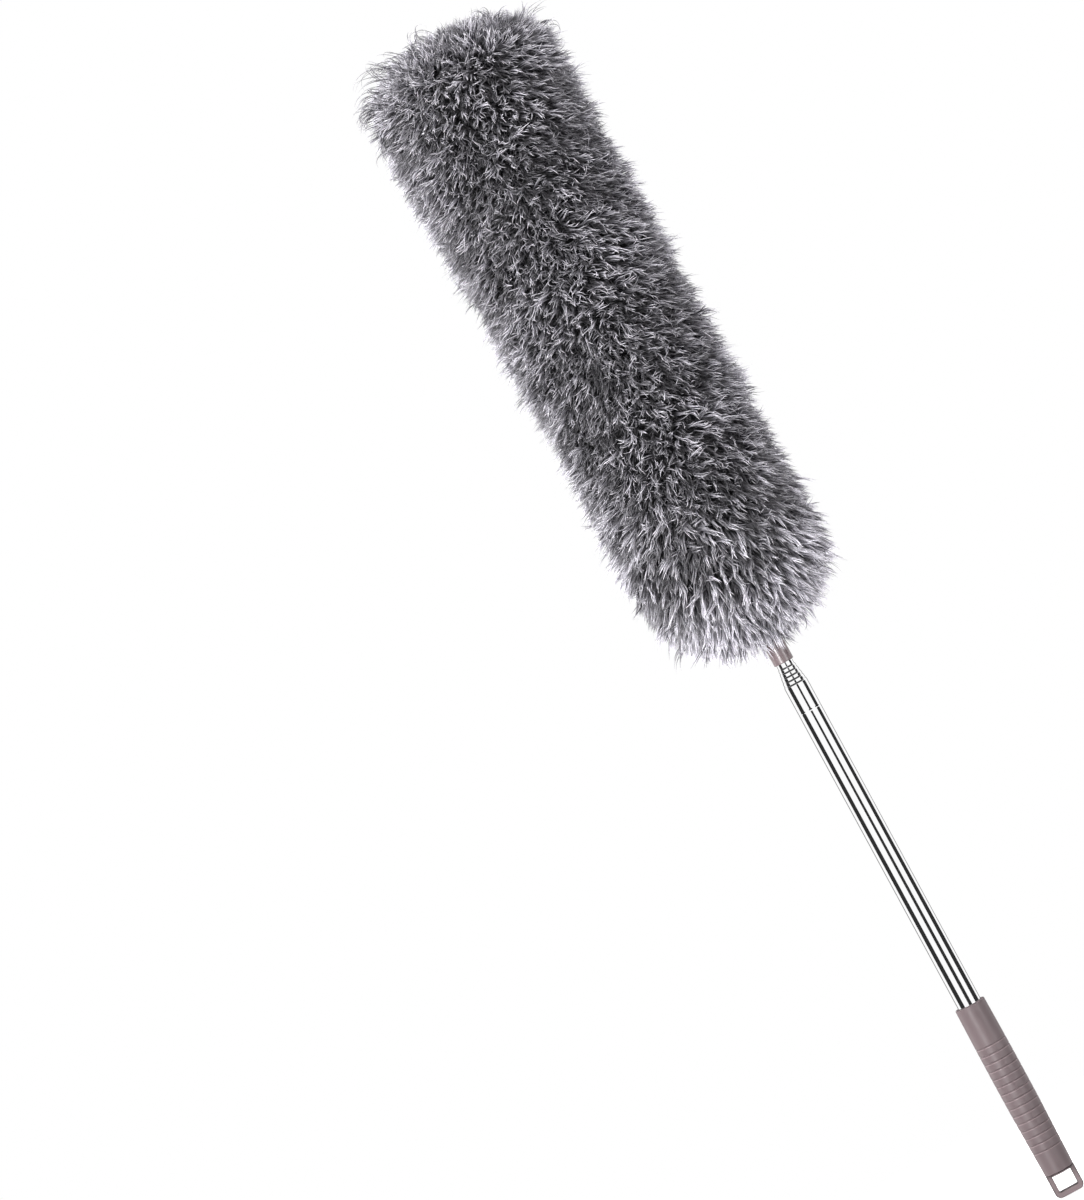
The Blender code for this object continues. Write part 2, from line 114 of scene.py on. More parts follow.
# Pole
SECTIONS = 6
TUBE_WALL = 0.28 * MM
NECK_DEPTH = 0.25 * MM
NECK_LENGTH = 13.0 * MM
NECK_TAPER = 1.0 * MM
RING_BELOW_RIM = 19.7 * MM
RING_HALF_WIDTH = 0.7 * MM
RING_DEPTH = 0.07 * MM
RIM_INSET = 0.34 * MM  # the rims are swaged inwards
RIM_INSET_INSIDE = 0.18 * MM
RIM_HEIGHT = 1.15 * MM

# Head socket and hem
SOCKET_LOW, SOCKET_HIGH = (corner.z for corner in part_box("head_socket"))
SOCKET_RADIUS = 6.7 * MM
SOCKET_EDGE = 0.5 * MM
SOCKET_BORE = 5.68 * MM
SOCKET_SHOULDER = 398.1 * MM
SOCKET_CHAMFER = 0.2 * MM
SOCKET_THREAD = (4.0 * MM, 410.3 * MM)  # radius, and height of its closed end
SOCKET_FLANGE = (10.0 * MM, 412.0 * MM, 414.5 * MM)  # radius, bottom, top
SOCKET_STUB_RADIUS = 4.5 * MM
WIRE_HOLE = (1.65 * MM, 416.0 * MM)  # radius, and height of its closed end
HEM_LOW, HEM_HIGH = (corner.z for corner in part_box("sleeve_hem"))
HEM_BORE = 7.0 * MM
HEM_RADIUS = 9.6 * MM
HEM_GATHER = 0.035  # depth of the gathers, as a share of the radius
HEM_FOLDS = 22

# Head
BENDS = [joint["pos_m"][2] for joint in frame["joints"] if joint["name"].startswith("bend_")]
BLEND_REACH = 26.0 * MM  # the pile turns over this much each side of a bend
PILE_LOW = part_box("pile_sleeve_1")[0].z
PILE_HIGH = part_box(f"pile_sleeve_{len(BENDS) + 1}")[1].z
PILE_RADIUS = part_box("pile_sleeve_1")[1].x
BASE_HEIGHT = 64.0 * MM
BASE_POWER = 2.1
TIP_HEIGHT = 45.0 * MM
TIP_POWER = 2.1
END_POINTS = 400  # on each rounded end's line, and on the whole pile's
LINE_POINTS = 900
SKIN_INSET = 0.4 * MM  # the strands' tips scatter about this line inside the CAD pile
PILE_MOUTH = 11.0 * MM
MAT_DEPTH = 14.0 * MM  # the matted under-pile lies this far below the skin
MAT_LUMP = 0.55 * MM
MAT_WAVES = 10
MAT_WAVE_TURNS = (6, 26)
MAT_WAVE_CLIMB = 380.0  # radians to the metre
FOAM_RADIUS = 26.0 * MM
FOAM_BORE = 5.0 * MM
FOAM_ROUNDING = (15.0 * MM, 18.0 * MM)  # of its lower and its upper end
FOAM_STEP = 6.0 * MM
FOAM_UNEVEN = 0.0004
FOAM_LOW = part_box("core_foam_1")[0].z
FOAM_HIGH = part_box(f"core_foam_{len(BENDS) + 1}")[1].z
REACH_LIMIT = PILE_RADIUS * 1.03 + 10.0 * MM  # the room that the strands have
TOP_LIMIT = PILE_HIGH + 34.0 * MM

SWAY = (1.3 * MM, 3.8 * MM)  # the pile hangs this far to the left, low and high on the head
SWELL = 0.03  # and is fuller up there, by this share
SWAY_HEIGHTS = (590.0 * MM, 770.0 * MM)

KICK_FROM = 0.6  # the last part of each strand, from here on, turns its own way
BASE_HANG = (135.0 * MM, 90.0 * MM)  # how high the base's long strands reach, and over what they fade out
BASE_GATHER = 0.25  # the locks end in points at the base
TIP_TOUSLE = 1.1  # and point every way at the tip
LEAN_BACK = 0.6  # share of a lock's lean that lies before its place on the skin
LOCK_REACH = (0.6, 1.35)  # how far locks and strands differ, as shares
LOCK_HOOK = (0.3, 1.4)
LOCK_HOOK_TURNS = (0.55, 1.15)
STRAND_LENGTH = (0.74, 1.10)
STRAND_ROLL = 0.45
STRAND_FLATNESS = 0.6
GOLDEN_ANGLE = math.pi * (3.0 - math.sqrt(5.0))
UP = np.array((0.0, 0.0, 1.0))
COATS = (
    # end_light is how strongly the painted light at the head's two ends acts on each coat
    Kind(
        name="undercoat", strands=76000, in_lock=6, steps=(0.0, 0.6, 1.0), reach=6.0 * MM,
        base_reach=6.5 * MM, rise=-3.2 * MM, uneven=1.6 * MM, swirl=0.4, stray=0.45,
        lock_radius=1.2 * MM, gather=0.4, scatter=0.7 * MM, curl=1.0 * MM, half_width=(0.34 * MM, 0.54 * MM),
        kick=0.9 * MM, light=0.46, end_light=1.0, lock_contrast=0.25, contrast=0.28,
    ),
    Kind(
        name="overcoat", strands=34300, in_lock=7, steps=(0.0, 0.42, 0.70, 0.88, 1.0), reach=6.2 * MM,
        base_reach=8.8 * MM, rise=0.6 * MM, uneven=1.7 * MM, swirl=0.45, stray=0.62,
        lock_radius=1.4 * MM, gather=0.52, scatter=0.9 * MM, curl=1.7 * MM, half_width=(0.38 * MM, 0.66 * MM),
        kick=1.5 * MM, light=1.54, end_light=1.15, lock_contrast=0.44, contrast=0.39,
    ),
)
SWIRL_WAVES = (8, 45.0 * MM)  # most waves round, wave height
BLOTCHES = (  # the same, and the change in lightness and in rise
    (6, 45.0 * MM, 0.26, 2.2 * MM),
    (22, 17.0 * MM, 0.22, 1.3 * MM),
)
PARTING = (-84.0, 30.0, 528.0 * MM, 48.0 * MM)  # where the pile parts: angle, half width, height, half height
PARTING_PAINTED_SHADE = 0.34  # and how much darker the strands are painted there, as painted shade in the parting
PARTING_DROP = 1.2 * MM  # and lower it is there
TINT_LIMIT = 2.3
BASE_PAINTED_LIGHT = (1.5, 444.0 * MM, 34.0 * MM)  # painted light at the base: how much, below what, over what
TIP_PAINTED_LIGHT = (0.4, 795.0 * MM, 28.0 * MM)  # and painted light at the tip
TIP_LEFT_PAINTED_LIGHT = 0.9  # and more painted light on the tip's left side

# Loose strands, in wisps that curl out of the pile
CURL_STEPS = tuple(np.linspace(0.0, 1.0, 13))
CURL_ROOT = 8.0 * MM
CURL_OUTWARD = 0.6  # how much a wisp sets out away from the pole
CURL_ASIDE = 0.8  # and how much the way it curls varies from straight down
CURL_TIGHTENING = 1.6  # above 1 it curls most at its end
CURL_LENGTH = (0.6, 1.15)  # how far the strands of a wisp differ, as shares
CURL_TURN = (0.75, 1.2)
CURL_CONTRAST = 0.25
WISP_RADIUS = 3.0 * MM
WISP_SPREAD = 0.12
CURLS = (
    Kind(
        name="corner", wisps=24, in_wisp=3, heights=(PILE_HIGH - 24.0 * MM, PILE_HIGH - 3.0 * MM),
        leftward=1.0, spread=0.38, lift=0.35, wander=0.22, length=(14.0 * MM, 30.0 * MM),
        turn=(0.9, 2.7), half_width=(0.28 * MM, 0.42 * MM), light=1.3,
    ),
    Kind(
        name="tip", wisps=60, in_wisp=6, heights=(PILE_HIGH - 52.0 * MM, PILE_HIGH),
        leftward=0.6, spread=0.6, lift=1.0, wander=0.4, length=(7.0 * MM, 23.0 * MM),
        turn=(1.3, 4.4), half_width=(0.30 * MM, 0.50 * MM), light=1.5,
    ),
    Kind(
        name="base", wisps=60, in_wisp=4, heights=(PILE_LOW, PILE_LOW + 44.0 * MM),
        leftward=0.0, spread=1.0, lift=1.0, wander=0.4, length=(6.0 * MM, 14.0 * MM),
        turn=(0.3, 2.4), half_width=(0.30 * MM, 0.50 * MM), light=1.3,
    ),
    Kind(
        name="body", wisps=1100, in_wisp=2, heights=(PILE_LOW + 20.0 * MM, PILE_HIGH - 20.0 * MM),
        leftward=0.0, spread=1.0, lift=0.7, wander=0.7, length=(1.0 * MM, 7.0 * MM),
        turn=(0.3, 2.8), half_width=(0.30 * MM, 0.52 * MM), light=1.7,
    ),
)

KEPT_NODES = (  # CAD nodes that keep their shape, by how their names start, and their slots
    ("grip_end_bush", "nylon"), ("pole_end_plug", "nylon"), ("friction_sleeve", "nylon"),
    ("pole_tip_stud", "nylon"), ("core_wire", "core_wire"), ("core_end_cap", "rubber"),
)

# Camera, which looks along +Y
CAMERA_PLACE = (-0.1163, -3.0, 0.491)
CAMERA_LENS = 141.7
CAMERA_SENSOR = 36.0
POLE_LEAN = math.radians(28.48)

# Studio: directions are degrees round the pole from the camera's side
FLAGS = ((-77.0, 18.9, 44.0), (5.8, 5.0, 90.0), (83.0, 14.2, 89.0))  # centre, half width, widening downwards
FLAG_DARK = 1.02
FLAG_LOWEST = 0.14  # the flags are widest this far below the horizon
BACKDROP_FROM = 101.0
BACKDROP_LIGHT = 1.5
EDGE_FROM = 140.0  # the gloss is dark again right behind the object
EDGE_DARK = 0.75
FILL_LIGHT = 0.40
END_FILL = (0.3, 0.85, 1.7, 2.8)  # more fill away from the horizon: from, to, how much above and below
GLOSS_LIGHT = 1.05
CEILING_FROM = 0.30
CEILING_DARK = 0.98
AIM = (0.0, 0.0, 0.62)
LIGHTS = (  # name, place, width, height, spread in degrees, power, what it isn't seen in
    ("key", (-2.2, -1.3, 1.1), 0.6, 0.6, 70.0, 8.6, "gloss"),
    ("strip", (-1.22, -2.3, 0.55), 0.22, 1.6, 180.0, 22.0, None),
    ("glint", (-1.26, -2.4, 0.55), 0.5, 1.6, 180.0, 24.0, "diffuse"),
    ("side", (2.1, -1.4, 1.3), 0.6, 0.6, 32.0, 0.50, "gloss"),
    ("second_glint", (1.75, -1.81, 0.55), 0.2, 1.6, 180.0, 15.0, "diffuse"),
)
WHITE = (1.0, 1.0, 1.0, 1.0)
FLOOR_RADIUS = 0.45
FLOOR_FADE_FROM = FLOOR_RADIUS * 0.45
FLOOR_DROP = 0.2 * MM
FLOOR_COLOUR = (0.93, 0.93, 0.93, 1.0)
FLOOR_GLOW = 0.4


# ---- camera, light and floor

def add_object(name, data):
    """A new object in the scene."""
    item = bpy.data.objects.new(name, data)
    bpy.context.scene.collection.objects.link(item)
    return item


def mesh_object(name, shape):
    """A new object of a bmesh, which is freed."""
    mesh = bpy.data.meshes.new(name)
    shape.to_mesh(mesh)
    shape.free()
    return add_object(name, mesh)


def make_camera():
    """Looks along +Y, rolled so that the pole leans to the left."""
    data = bpy.data.cameras.new("camera")
    data.lens = CAMERA_LENS
    data.sensor_width = CAMERA_SENSOR
    data.clip_end = 100.0
    camera = add_object("camera", data)
    right = Vector((math.cos(POLE_LEAN), 0.0, -math.sin(POLE_LEAN)))
    up = Vector((math.sin(POLE_LEAN), 0.0, math.cos(POLE_LEAN)))
    axes = Matrix((right, up, Vector((0.0, -1.0, 0.0)))).transposed()
    camera.matrix_world = Matrix.Translation(CAMERA_PLACE) @ axes.to_4x4()
    bpy.context.scene.camera = camera


def make_lights():
    """Soft oblong lights; returns them."""
    lights = []
    for name, place, width, height, spread, power, kept_out in LIGHTS:
        data = bpy.data.lights.new(name, "AREA")
        data.shape = "RECTANGLE"
        data.size = width
        data.size_y = height
        data.spread = math.radians(spread)
        data.energy = power
        light = add_object(name, data)
        light.location = place
        light.rotation_euler = (Vector(AIM) - Vector(place)).to_track_quat("-Z", "Y").to_euler()
        light.visible_glossy = kept_out != "gloss"
        light.visible_diffuse = kept_out != "diffuse"
        lights.append(light)
    return lights


def keep_lights_off(pieces, lights):
    """Leave pieces out of what the lights shine on, so that they mirror nothing but the studio's walls."""
    spared = bpy.data.collections.new("spared_by_lights")
    for piece in pieces:
        spared.objects.link(piece)
    for item in spared.collection_objects:
        item.light_linking.link_state = "EXCLUDE"
    for light in lights:
        light.light_linking.receiver_collection = spared


def feed(node, inputs):
    """Link a node's inputs to sockets, or set them to plain values."""
    for place, value in inputs.items():
        if isinstance(value, bpy.types.NodeSocket):
            node.id_data.links.new(value, node.inputs[place])
        else:
            node.inputs[place].default_value = value


def add_node(tree, kind, inputs=None, **settings):
    """A shader node with some of its properties and inputs set."""
    node = tree.nodes.new(f"ShaderNode{kind}")
    for name, value in settings.items():
        setattr(node, name, value)
    feed(node, inputs or {})
    return node


def math_node(operation, *values):
    """A Math node on sockets or numbers; returns its output."""
    tree = next(value.id_data for value in values if isinstance(value, bpy.types.NodeSocket))
    return add_node(tree, "Math", dict(enumerate(values)), operation=operation).outputs[0]


def make_world():
    """A white studio: plain for the camera, with tall dark flags in the gloss, and brightest at the back."""
    world = bpy.data.worlds.new("studio")
    bpy.context.scene.world = world
    world.use_nodes = True
    tree = world.node_tree
    tree.nodes.clear()
    direction = add_node(tree, "TexCoord").outputs["Generated"]
    height = part_of(direction, "Z")
    minus_y = math_node("MULTIPLY", part_of(direction, "Y"), -1.0)
    azimuth = math_node("ARCTAN2", part_of(direction, "X"), minus_y)
    off_front = math_node("ABSOLUTE", azimuth)
    behind = math_node("GREATER_THAN", off_front, math.radians(BACKDROP_FROM))

    ceiling = math_node("GREATER_THAN", height, CEILING_FROM)
    dark = math_node("MULTIPLY", ceiling, CEILING_DARK)
    edge = math_node("GREATER_THAN", off_front, math.radians(EDGE_FROM))
    dark = math_node("MAXIMUM", dark, math_node("MULTIPLY", edge, EDGE_DARK))
    drop = math_node("MULTIPLY", height, -1.0)
    below = math_node("MINIMUM", drop, FLAG_LOWEST)
    for centre, half_width, widening in FLAGS:
        reach = math_node("MULTIPLY_ADD", below, math.radians(widening), math.radians(half_width))
        flag = math_node("COMPARE", azimuth, math.radians(centre), reach)
        dark = math_node("MAXIMUM", dark, math_node("MULTIPLY", flag, FLAG_DARK))
    gloss = math_node("SUBTRACT", GLOSS_LIGHT, dark)
    fill = math_node("MULTIPLY_ADD", behind, BACKDROP_LIGHT - FILL_LIGHT, FILL_LIGHT)
    near, far, more_above, more_below = END_FILL
    for away, more in ((height, more_above), (drop, more_below)):
        fill = math_node("MULTIPLY", fill, range_node(away, 1.0, 1.0 + more, near, far))

    rays = add_node(tree, "LightPath")
    glossy, seen = rays.outputs["Is Glossy Ray"], rays.outputs["Is Camera Ray"]
    shines = add_node(tree, "Mix", {"Factor": glossy, "A": fill, "B": gloss}, data_type="FLOAT")
    studio = add_node(tree, "Background", {"Color": WHITE, "Strength": shines.outputs["Result"]})
    plain = add_node(tree, "Background", {"Color": WHITE})
    mix = add_node(tree, "MixShader", {0: seen, 1: studio.outputs[0], 2: plain.outputs[0]})
    add_node(tree, "OutputWorld", {"Surface": mix.outputs[0]})


def make_floor():
    """A plain pale floor, which fades out away from the object."""
    shape = bmesh.new()
    bmesh.ops.create_circle(shape, cap_ends=True, segments=96, radius=FLOOR_RADIUS)
    floor = mesh_object("floor", shape)
    floor.location.z = CAD_BOX[0].z - FLOOR_DROP
    finish, shader, coords = new_material("floor_paper")
    tree = finish.node_tree
    feed(shader, {
        "Base Color": FLOOR_COLOUR, "Roughness": 0.9,
        "Emission Color": WHITE, "Emission Strength": FLOOR_GLOW,
    })
    far = add_node(tree, "VectorMath", {0: coords}, operation="LENGTH").outputs["Value"]
    stretch = {"Value": far, "From Min": FLOOR_FADE_FROM, "From Max": FLOOR_RADIUS}
    fade = add_node(tree, "MapRange", stretch, interpolation_type="SMOOTHSTEP")
    clear = add_node(tree, "BsdfTransparent")
    mix = add_node(tree, "MixShader", {0: fade.outputs["Result"], 1: shader.outputs[0], 2: clear.outputs[0]})
    feed(tree.nodes["Material Output"], {"Surface": mix.outputs[0]})
    floor.data.materials.append(finish)
    floor.visible_diffuse = False
    floor.visible_glossy = False


# ---- materials

def new_material(name):
    """A node material; returns it, its Principled shader and its object coordinates."""
    finish = bpy.data.materials.new(name)
    finish.use_nodes = True
    coords = add_node(finish.node_tree, "TexCoord").outputs["Object"]
    return finish, finish.node_tree.nodes["Principled BSDF"], coords


def noise_node(coords, scale, detail=3.0, stretch=(1.0, 1.0, 1.0)):
    """Noise over coordinates that may be stretched along an axis; returns its value."""
    tree = coords.id_data
    where = add_node(tree, "Mapping", {"Vector": coords, "Scale": stretch}).outputs[0]
    return add_node(tree, "TexNoise", {"Vector": where, "Scale": scale, "Detail": detail}).outputs["Fac"]


def part_of(vector, axis):
    """One component of a vector."""
    return add_node(vector.id_data, "SeparateXYZ", {0: vector}).outputs[axis]


def ramp_node(value, stops):
    """A colour ramp with (position, colour) stops; returns its colour."""
    ramp = add_node(value.id_data, "ValToRGB", {"Fac": value})
    elements = ramp.color_ramp.elements
    while len(elements) < len(stops):
        elements.new(0.5)
    for element, (position, colour) in zip(elements, stops):
        element.position = position
        element.color = (*colour, 1.0)
    return ramp.outputs["Color"]


def range_node(value, low, high, from_low=0.3, from_high=0.7):
    """Maps a value to a new range."""
    ends = {"From Min": from_low, "From Max": from_high, "To Min": low, "To Max": high}
    return add_node(value.id_data, "MapRange", {"Value": value, **ends}).outputs["Result"]


def add_bump(shader, value, distance, strength=1.0):
    """Bump on the shader's normal."""
    relief = {"Height": value, "Distance": distance, "Strength": strength}
    bump = add_node(shader.id_data, "Bump", relief)
    feed(shader, {"Normal": bump.outputs["Normal"]})


def lip_factor(coords):
    """1 on the lip just below each ring groove of the grip, which gets a painted highlight and a lower
    roughness, and 0 elsewhere.
    """
    off = math_node("SUBTRACT", part_of(coords, "Z"), FIRST_GROOVE - LIP_BELOW)
    phase = math_node("WRAP", off, GROOVE_PITCH / 2.0, -GROOVE_PITCH / 2.0)
    lip = math_node("COMPARE", phase, 0.0, LIP_HALF_WIDTH)
    middle = (GROOVES - 1) * GROOVE_PITCH / 2.0
    grooved = math_node("COMPARE", off, middle, middle + GROOVE_PITCH / 2.0)
    return math_node("MULTIPLY", lip, grooved)


def scale_colour(shader, factor):
    """Multiply the colour that reaches a shader by a value."""
    colour = shader.inputs["Base Color"].links[0].from_socket
    scaled = add_node(shader.id_data, "VectorMath", {0: colour, "Scale": factor}, operation="SCALE")
    feed(shader, {"Base Color": scaled.outputs[0]})


def paint_lip_highlights_and_gloss(finish):
    """A painted highlight, a lighter colour, on the lips under the grip's grooves, which are also glossier.
    """
    tree = finish.node_tree
    shader = tree.nodes["Principled BSDF"]
    lip = lip_factor(add_node(tree, "TexCoord").outputs["Object"])
    scale_colour(shader, math_node("MULTIPLY_ADD", lip, LIP_PAINTED_HIGHLIGHT, 1.0))
    rough = shader.inputs["Roughness"].links[0].from_socket
    feed(shader, {"Roughness": math_node("MULTIPLY_ADD", lip, -LIP_POLISH, rough)})


def shade_edges(finish):
    """Painted shade round the edges of the loop's bars: darker where the surface turns away from its two flat
    faces.
    """
    tree = finish.node_tree
    shader = tree.nodes["Principled BSDF"]
    facing = math_node("ABSOLUTE", part_of(add_node(tree, "TexCoord").outputs["Normal"], "Y"))
    scale_colour(shader, range_node(facing, LOOP_EDGE_SHADE, 1.0, *LOOP_EDGE_FACING))


def plastic_material(name, low, high, roughness, gloss):
    """Moulded plastic: a fine matt grain, faint flow mottling and a varying gloss."""
    finish, shader, coords = new_material(name)
    mottle = noise_node(coords, 90.0, 4.0, (1.0, 1.0, 0.35))
    grain = noise_node(coords, 2600.0, 2.0)
    wear = noise_node(coords, 260.0, 3.0)
    feed(shader, {
        "Base Color": ramp_node(mottle, [(0.3, low), (0.7, high)]),
        "Roughness": range_node(wear, roughness - 0.05, roughness + 0.06),
        "Specular IOR Level": gloss,
    })
    add_bump(shader, grain, 0.03 * MM, 0.5)
    return finish


def steel_material():
    """Polished tube: bright, with faint drawing lines along it and slight smears in the polish."""
    finish, shader, coords = new_material("polished_steel")
    drawn = noise_node(coords, 2400.0, 2.0, (1.0, 1.0, 0.01))
    smears = noise_node(coords, 55.0, 4.0, (1.0, 1.0, 0.4))
    colour = ramp_node(drawn, [(0.35, (0.90, 0.90, 0.905)), (0.65, (0.965, 0.965, 0.97))])
    rough = range_node(smears, 0.025, 0.06)
    feed(shader, {"Base Color": colour, "Roughness": rough, "Metallic": 1.0})
    add_bump(shader, drawn, 0.002 * MM, 0.25)
    return finish


def weathered_material(name, skin, stops, roughness, bump, metallic):
    """One noise (scale, detail, stretch) makes the colour, the roughness and the bump of a weathered skin."""
    finish, shader, coords = new_material(name)
    noise = noise_node(coords, *skin)
    rough = range_node(noise, *roughness)
    feed(shader, {"Base Color": ramp_node(noise, stops), "Roughness": rough, "Metallic": metallic})
    add_bump(shader, noise, bump)
    return finish


def wire_material():
    """Annealed wire: dull, with a scaly, darker oxide."""
    stops = [(0.3, (0.16, 0.15, 0.14)), (0.7, (0.48, 0.47, 0.45))]
    return weathered_material("core_wire", (700.0, 5.0, (1.0, 1.0, 0.3)), stops, (0.55, 0.32), 0.05 * MM, 1.0)


def rubber_material():
    """Soft black rubber with a bloomed, dusty skin."""
    stops = [(0.35, (0.012, 0.012, 0.013)), (0.75, (0.045, 0.044, 0.043))]
    return weathered_material("rubber", (900.0, 4.0), stops, (0.6, 0.85), 0.04 * MM, 0.0)


def foam_material():
    """Open-cell foam: pale, pitted with cells."""
    finish, shader, coords = new_material("foam")
    pores = {"Vector": coords, "Scale": 1100.0}
    cells = add_node(finish.node_tree, "TexVoronoi", pores, feature="DISTANCE_TO_EDGE")
    wall = cells.outputs["Distance"]
    colour = ramp_node(wall, [(0.02, (0.66, 0.63, 0.58)), (0.30, (0.34, 0.32, 0.30))])
    feed(shader, {"Base Color": colour, "Roughness": 0.95})
    add_bump(shader, wall, 0.2 * MM)
    return finish


def cloth_material(name, low, high, scale):
    """Knitted backing cloth: small ribs with a soft fuzz."""
    finish, shader, coords = new_material(name)
    knit = {"Vector": coords, "Scale": scale, "Distortion": 2.5, "Detail": 3.0, "Detail Scale": 4.0}
    wave = add_node(finish.node_tree, "TexWave", knit, wave_type="BANDS", bands_direction="Z")
    ribs = wave.outputs["Fac"]
    colour = ramp_node(ribs, [(0.2, low), (0.8, high)])
    feed(shader, {"Base Color": colour, "Roughness": 0.95, "Sheen Weight": 0.3})
    add_bump(shader, ribs, 0.15 * MM)
    return finish


def pile_material():
    """Microfibre strands: silver grey at the tip, darker towards the root as painted shade deep in the pile,
    each strand a little different.
    """
    finish, shader, coords = new_material("microfibre_pile")
    along, tint = (
        add_node(finish.node_tree, "Attribute", attribute_name=name).outputs["Fac"]
        for name in ("along", "tint")
    )
    # The darkening from tip to root is painted shade deep in the pile.
    stops = [(0.0, (0.006, 0.006, 0.008)), (0.35, (0.030, 0.029, 0.035)),
             (0.68, (0.20, 0.193, 0.214)), (1.0, (0.53, 0.515, 0.551))]
    feed(shader, {
        "Base Color": ramp_node(along, stops), "Roughness": 0.6, "Specular IOR Level": 0.3,
        "Sheen Weight": 0.15, "Sheen Roughness": 0.4,
    })
    fibres = range_node(noise_node(coords, 1500.0, 2.0), 0.72, 1.28)
    scale_colour(shader, math_node("MULTIPLY", tint, fibres))
    return finish


# ---- turned pieces

def new_piece(name, shape, finish, sharp=35.0):
    """An object of a bmesh, with its material."""
    piece = mesh_object(name, shape)
    piece.data.materials.append(finish)
    piece.data.shade_smooth()
    piece.data.set_sharp_from_angle(angle=math.radians(sharp))
    return piece


def turned(outline, sides=ROUND_SIDES):
    """Turn a closed outline of (radius, height) points about the pole's axis."""
    shape = bmesh.new()
    corners = [shape.verts.new((radius, 0.0, height)) for radius, height in outline]
    edges = [shape.edges.new(pair) for pair in zip(corners, corners[1:])]
    if outline[0][0] > 0.0:
        edges.append(shape.edges.new((corners[-1], corners[0])))
    bmesh.ops.spin(
        shape, geom=corners + edges, cent=(0.0, 0.0, 0.0), axis=(0.0, 0.0, 1.0),
        angle=math.tau, steps=sides, use_merge=True,
    )
    bmesh.ops.remove_doubles(shape, verts=shape.verts, dist=1e-6)
    bmesh.ops.recalc_face_normals(shape, faces=shape.faces)
    return shape


def supported(outline):
    """The outline with an extra point near each end of every long stretch off the axis."""
    points = []
    for start, end in zip(outline, outline[1:] + outline[:1]):
        points.append(start)
        length = math.dist(start, end)
        if length > 4.0 * SUPPORT and max(start[0], end[0]) > 0.0:
            for share in (SUPPORT / length, 1.0 - SUPPORT / length):
                points.append(tuple(low + (high - low) * share for low, high in zip(start, end)))
    return points


def quarter(centre, radius, start, steps=5):
    """(radius, height) points of a quarter circle about centre, anticlockwise from start in quarter turns."""
    points = []
    for step in range(steps + 1):
        angle = (start + step / steps) * math.pi / 2.0
        points.append((centre[0] + radius * math.cos(angle), centre[1] + radius * math.sin(angle)))
    return points


def grip_radius(height):
    """Outer radius of the grip: a straight taper with a shallow belly, and the ring grooves."""
    along = (height - GRIP_LOW) / (GRIP_HIGH - GRIP_LOW)
    radius = GRIP_END_RADIUS + (GRIP_MOUTH_RADIUS - GRIP_END_RADIUS) * along
    radius += GRIP_BELLY * math.sin(math.pi * along)
    nearest = round((height - FIRST_GROOVE) / GROOVE_PITCH)
    if 0 <= nearest < GROOVES:
        off = abs(height - FIRST_GROOVE - nearest * GROOVE_PITCH) / GROOVE_HALF_WIDTH
        if off < 1.0:
            radius -= GROOVE_DEPTH * math.cos(off * math.pi / 2.0) ** 1.5
    return radius


def make_grip(finish):
    """The hand grip with its ring grooves, rounded ends and stepped bore."""
    low, high = GRIP_LOW + GRIP_EDGE, GRIP_HIGH - GRIP_EDGE
    outline = quarter((grip_radius(low) - GRIP_EDGE, low), GRIP_EDGE, 3)
    heights = set(np.linspace(low, FIRST_GROOVE, 9)[1:-1])
    heights |= set(np.linspace(FIRST_GROOVE + (GROOVES - 1) * GROOVE_PITCH, high, 9)[1:-1])
    for groove in range(GROOVES):
        middle = FIRST_GROOVE + groove * GROOVE_PITCH
        heights |= {middle + off * GROOVE_HALF_WIDTH for off in np.linspace(-1.0, 1.0, 9)}
        heights |= {middle + GROOVE_PITCH * share for share in (0.3, 0.5, 0.7)}
    outline += [(grip_radius(height), height) for height in sorted(heights) if low < height < high]
    outline += quarter((grip_radius(high) - GRIP_EDGE, high), GRIP_EDGE, 0)
    outline += [
        (GRIP_BORE + GRIP_CHAMFER, GRIP_HIGH), (GRIP_BORE, GRIP_HIGH - GRIP_CHAMFER), (GRIP_BORE, RECESS[1]),
        (RECESS_RADIUS, RECESS[1]), (RECESS_RADIUS, RECESS[0]), (GRIP_END_BORE, RECESS[0]),
        (GRIP_END_BORE, GRIP_LOW),
    ]
    grip = new_piece("grip_moulding", turned(supported(outline)), finish)
    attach(grip, "handle")
    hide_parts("grip")


def box_cutter(low, high):
    """A box that cuts a piece and is removed afterwards."""
    shape = bmesh.new()
    bmesh.ops.create_cube(shape, size=1.0)
    bmesh.ops.scale(shape, verts=shape.verts, vec=[top - bottom for bottom, top in zip(low, high)])
    middle = [(top + bottom) / 2.0 for bottom, top in zip(low, high)]
    bmesh.ops.translate(shape, verts=shape.verts, vec=middle)
    return mesh_object("cutter", shape)


def apply_modifiers(piece):
    """Replace a piece's mesh with what its modifiers make of it."""
    evaluated = piece.evaluated_get(bpy.context.evaluated_depsgraph_get())
    mesh = bpy.data.meshes.new_from_object(evaluated)
    piece.modifiers.clear()
    piece.data = mesh


